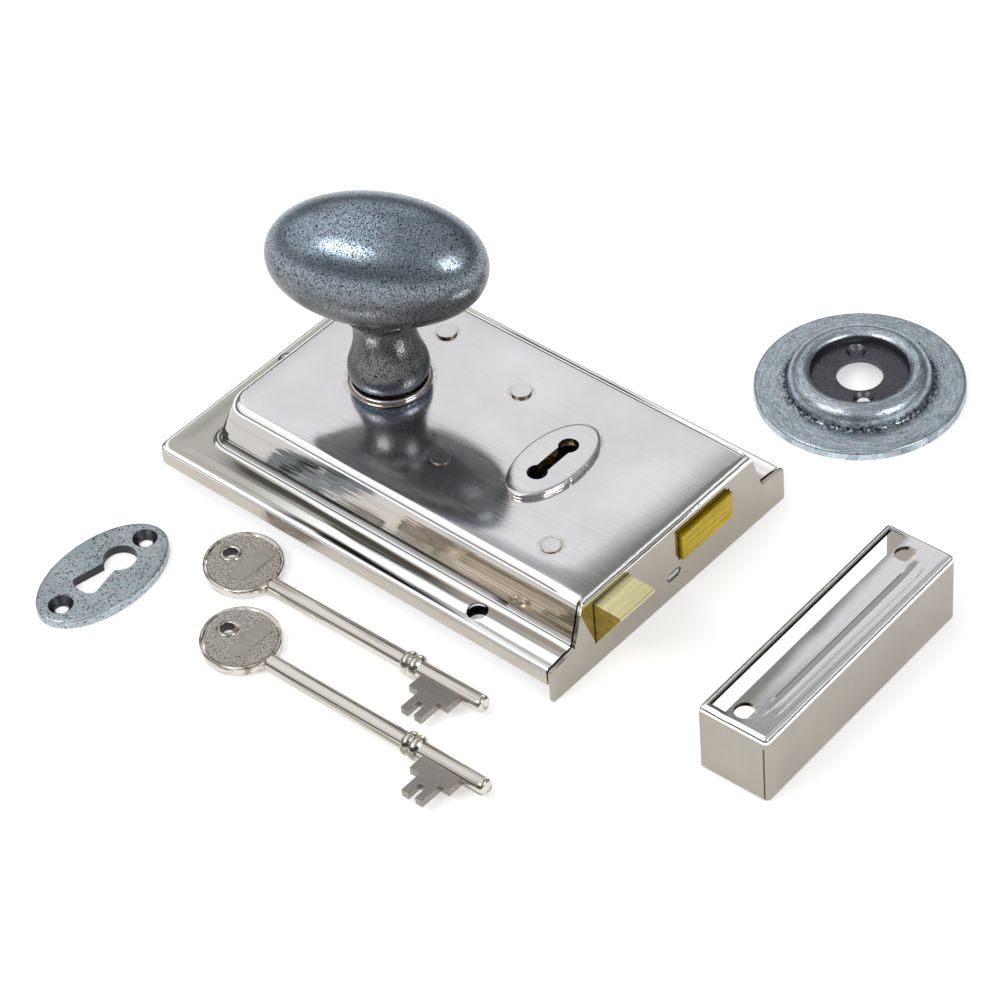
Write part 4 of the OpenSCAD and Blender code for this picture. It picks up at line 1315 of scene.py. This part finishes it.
# The room's light as (height of the direction, grey level), and each lamp as its name, the
# direction it stands in, its distance, width and height in metres, and its level.
ROOM_STEPS = ((0.0, 0.75), (0.06, 0.45), (0.15, 0.12), (0.42, 0.15), (0.62, 0.42), (1.0, 0.5))
LAMPS = (
    ("back_card", (-0.785, 0.778, 0.868), 1.4, 0.98, 0.58, 0.42),
    ("left_softbox", (-0.15, -0.65, 0.75), 1.2, 0.62, 0.32, 4.5),
    ("left_glow", (-0.516, -0.3, 0.8), 1.35, 1.75, 1.8, 0.48),
    ("far_card", (0.66, 0.52, 0.49), 1.3, 0.6, 0.36, 0.5),
    ("right_softbox", (0.84, 0.06, 0.54), 1.2, 0.5, 0.38, 4.6),
)


class RIM_OT_stage(bpy.types.Operator):
    """Build the floor, the lights and the camera"""

    bl_idname = "rim_lock.stage"
    bl_label = "Stage"

    def execute(self, context):
        settings = context.scene.rim_stage
        self.world(context, settings)
        self.floor(settings)
        self.lamps(settings)
        self.camera(context, settings)
        return {"FINISHED"}

    def world(self, context, settings):
        """A room that is pale at the horizon, dark above it and grey overhead."""
        world = bpy.data.worlds.new("studio_air")
        world.use_nodes = True
        tree = world.node_tree
        tree.nodes.clear()
        place = add_node(tree, "TexCoord").outputs["Generated"]
        height = add_node(tree, "SeparateXYZ", {"Vector": place}).outputs["Z"]
        ramp = add_node(tree, "ValToRGB", {"Fac": height})
        steps = ramp.color_ramp.elements
        while len(steps) < len(ROOM_STEPS):
            steps.new(0.5)
        for step, (position, level) in zip(steps, ROOM_STEPS):
            step.position = position
            step.color = (level, level, level, 1.0)
        inputs = {"Color": ramp.outputs["Color"], "Strength": settings.room}
        air = add_node(tree, "Background", inputs).outputs["Background"]
        add_node(tree, "OutputWorld", {"Surface": air})
        context.scene.world = world

    def floor(self, settings):
        size = 8000.0
        corners = ((-size, -size), (size, -size), (size, size), (-size, size))
        finish = Finish("pale_floor")
        finish.done((settings.floor_colour,) * 3, 0.9, None, 0.0)
        lift = finish.times(visible_rays(finish.tree), settings.floor_glow)
        feed(finish.tree, finish.shader, {"Specular IOR Level": 0.0, "Emission Strength": lift,
                                          "Emission Color": (1.0, 1.0, 1.0)})
        floor = new_mesh("floor", [(x, y, FLOOR_Z) for x, y in corners], [(0, 1, 2, 3)],
                         (finish.material,))

    def lamps(self, settings):
        for name, aim, distance, width, height, level in LAMPS:
            lamp = bpy.data.lights.new(name, "AREA")
            lamp.shape = "RECTANGLE"
            lamp.size = width
            lamp.size_y = height
            lamp.energy = 4.0 * width * height * level * settings.lamp_share
            light = placed(name, lamp)
            light.location = Vector(aim).normalized() * distance
            light.rotation_mode = "QUATERNION"
            light.rotation_quaternion = Vector(aim).to_track_quat("Z", "Y")

    def camera(self, context, settings):
        a, e, roll = settings.azimuth, settings.elevation, settings.roll
        back = Vector((math.sin(a) * math.cos(e), -math.cos(a) * math.cos(e), math.sin(e)))
        right = Vector((0, 0, 1)).cross(back).normalized()
        up = back.cross(right)
        c, s = math.cos(roll), math.sin(roll)
        turned_right = c * right + s * up
        turned_up = -s * right + c * up
        place = Vector(CAMERA_AIM) * MM + back * settings.distance
        data = bpy.data.cameras.new("photo_camera")
        data.sensor_width = SENSOR
        data.lens = settings.focal * SENSOR
        data.shift_x, data.shift_y = LENS_SHIFT
        data.clip_start = 0.05
        data.clip_end = 20.0
        camera = placed("photo_camera", data)
        rows = Matrix((turned_right, turned_up, back)).transposed().to_4x4()
        camera.matrix_world = Matrix.Translation(place) @ rows
        context.scene.camera = camera
        context.scene.view_settings.view_transform = "Standard"


class RIM_PT_panel(bpy.types.Panel):
    """Buttons for the pieces of the rim lock set"""

    bl_idname = "RIM_PT_panel"
    bl_label = "Rim lock"
    bl_space_type = "VIEW_3D"
    bl_region_type = "UI"
    bl_category = "Rim lock"

    def draw(self, context):
        for operator in OPERATORS:
            self.layout.operator(operator.bl_idname)
        for name, group in SETTINGS:
            box = self.layout.box()
            box.label(text=group.__doc__)
            for key in group.__annotations__:
                box.prop(getattr(context.scene, name), key)


SETTINGS = (
    ("rim_finish", FinishSettings),
    ("rim_case", CaseSettings),
    ("rim_knob", KnobSettings),
    ("rim_stage", StageSettings),
)
OPERATORS = (
    RIM_OT_case,
    RIM_OT_keyhole_plate,
    RIM_OT_collar,
    RIM_OT_knob,
    RIM_OT_bolts,
    RIM_OT_keep,
    RIM_OT_rose,
    RIM_OT_escutcheon,
    RIM_OT_keys,
    RIM_OT_rivets,
    RIM_OT_springs,
    RIM_OT_inner,
    RIM_OT_stage,
)


def register():
    for name, group in SETTINGS:
        bpy.utils.register_class(group)
        setattr(bpy.types.Scene, name, PointerProperty(type=group))
    for operator in OPERATORS:
        bpy.utils.register_class(operator)
    bpy.utils.register_class(RIM_PT_panel)


def unregister():
    bpy.utils.unregister_class(RIM_PT_panel)
    for operator in reversed(OPERATORS):
        bpy.utils.unregister_class(operator)
    for name, group in reversed(SETTINGS):
        delattr(bpy.types.Scene, name)
        bpy.utils.unregister_class(group)


def main():
    register()
    for operator in OPERATORS:
        group, name = operator.bl_idname.split(".")
        getattr(getattr(bpy.ops, group), name)()


if __name__ == "__main__":
    main()
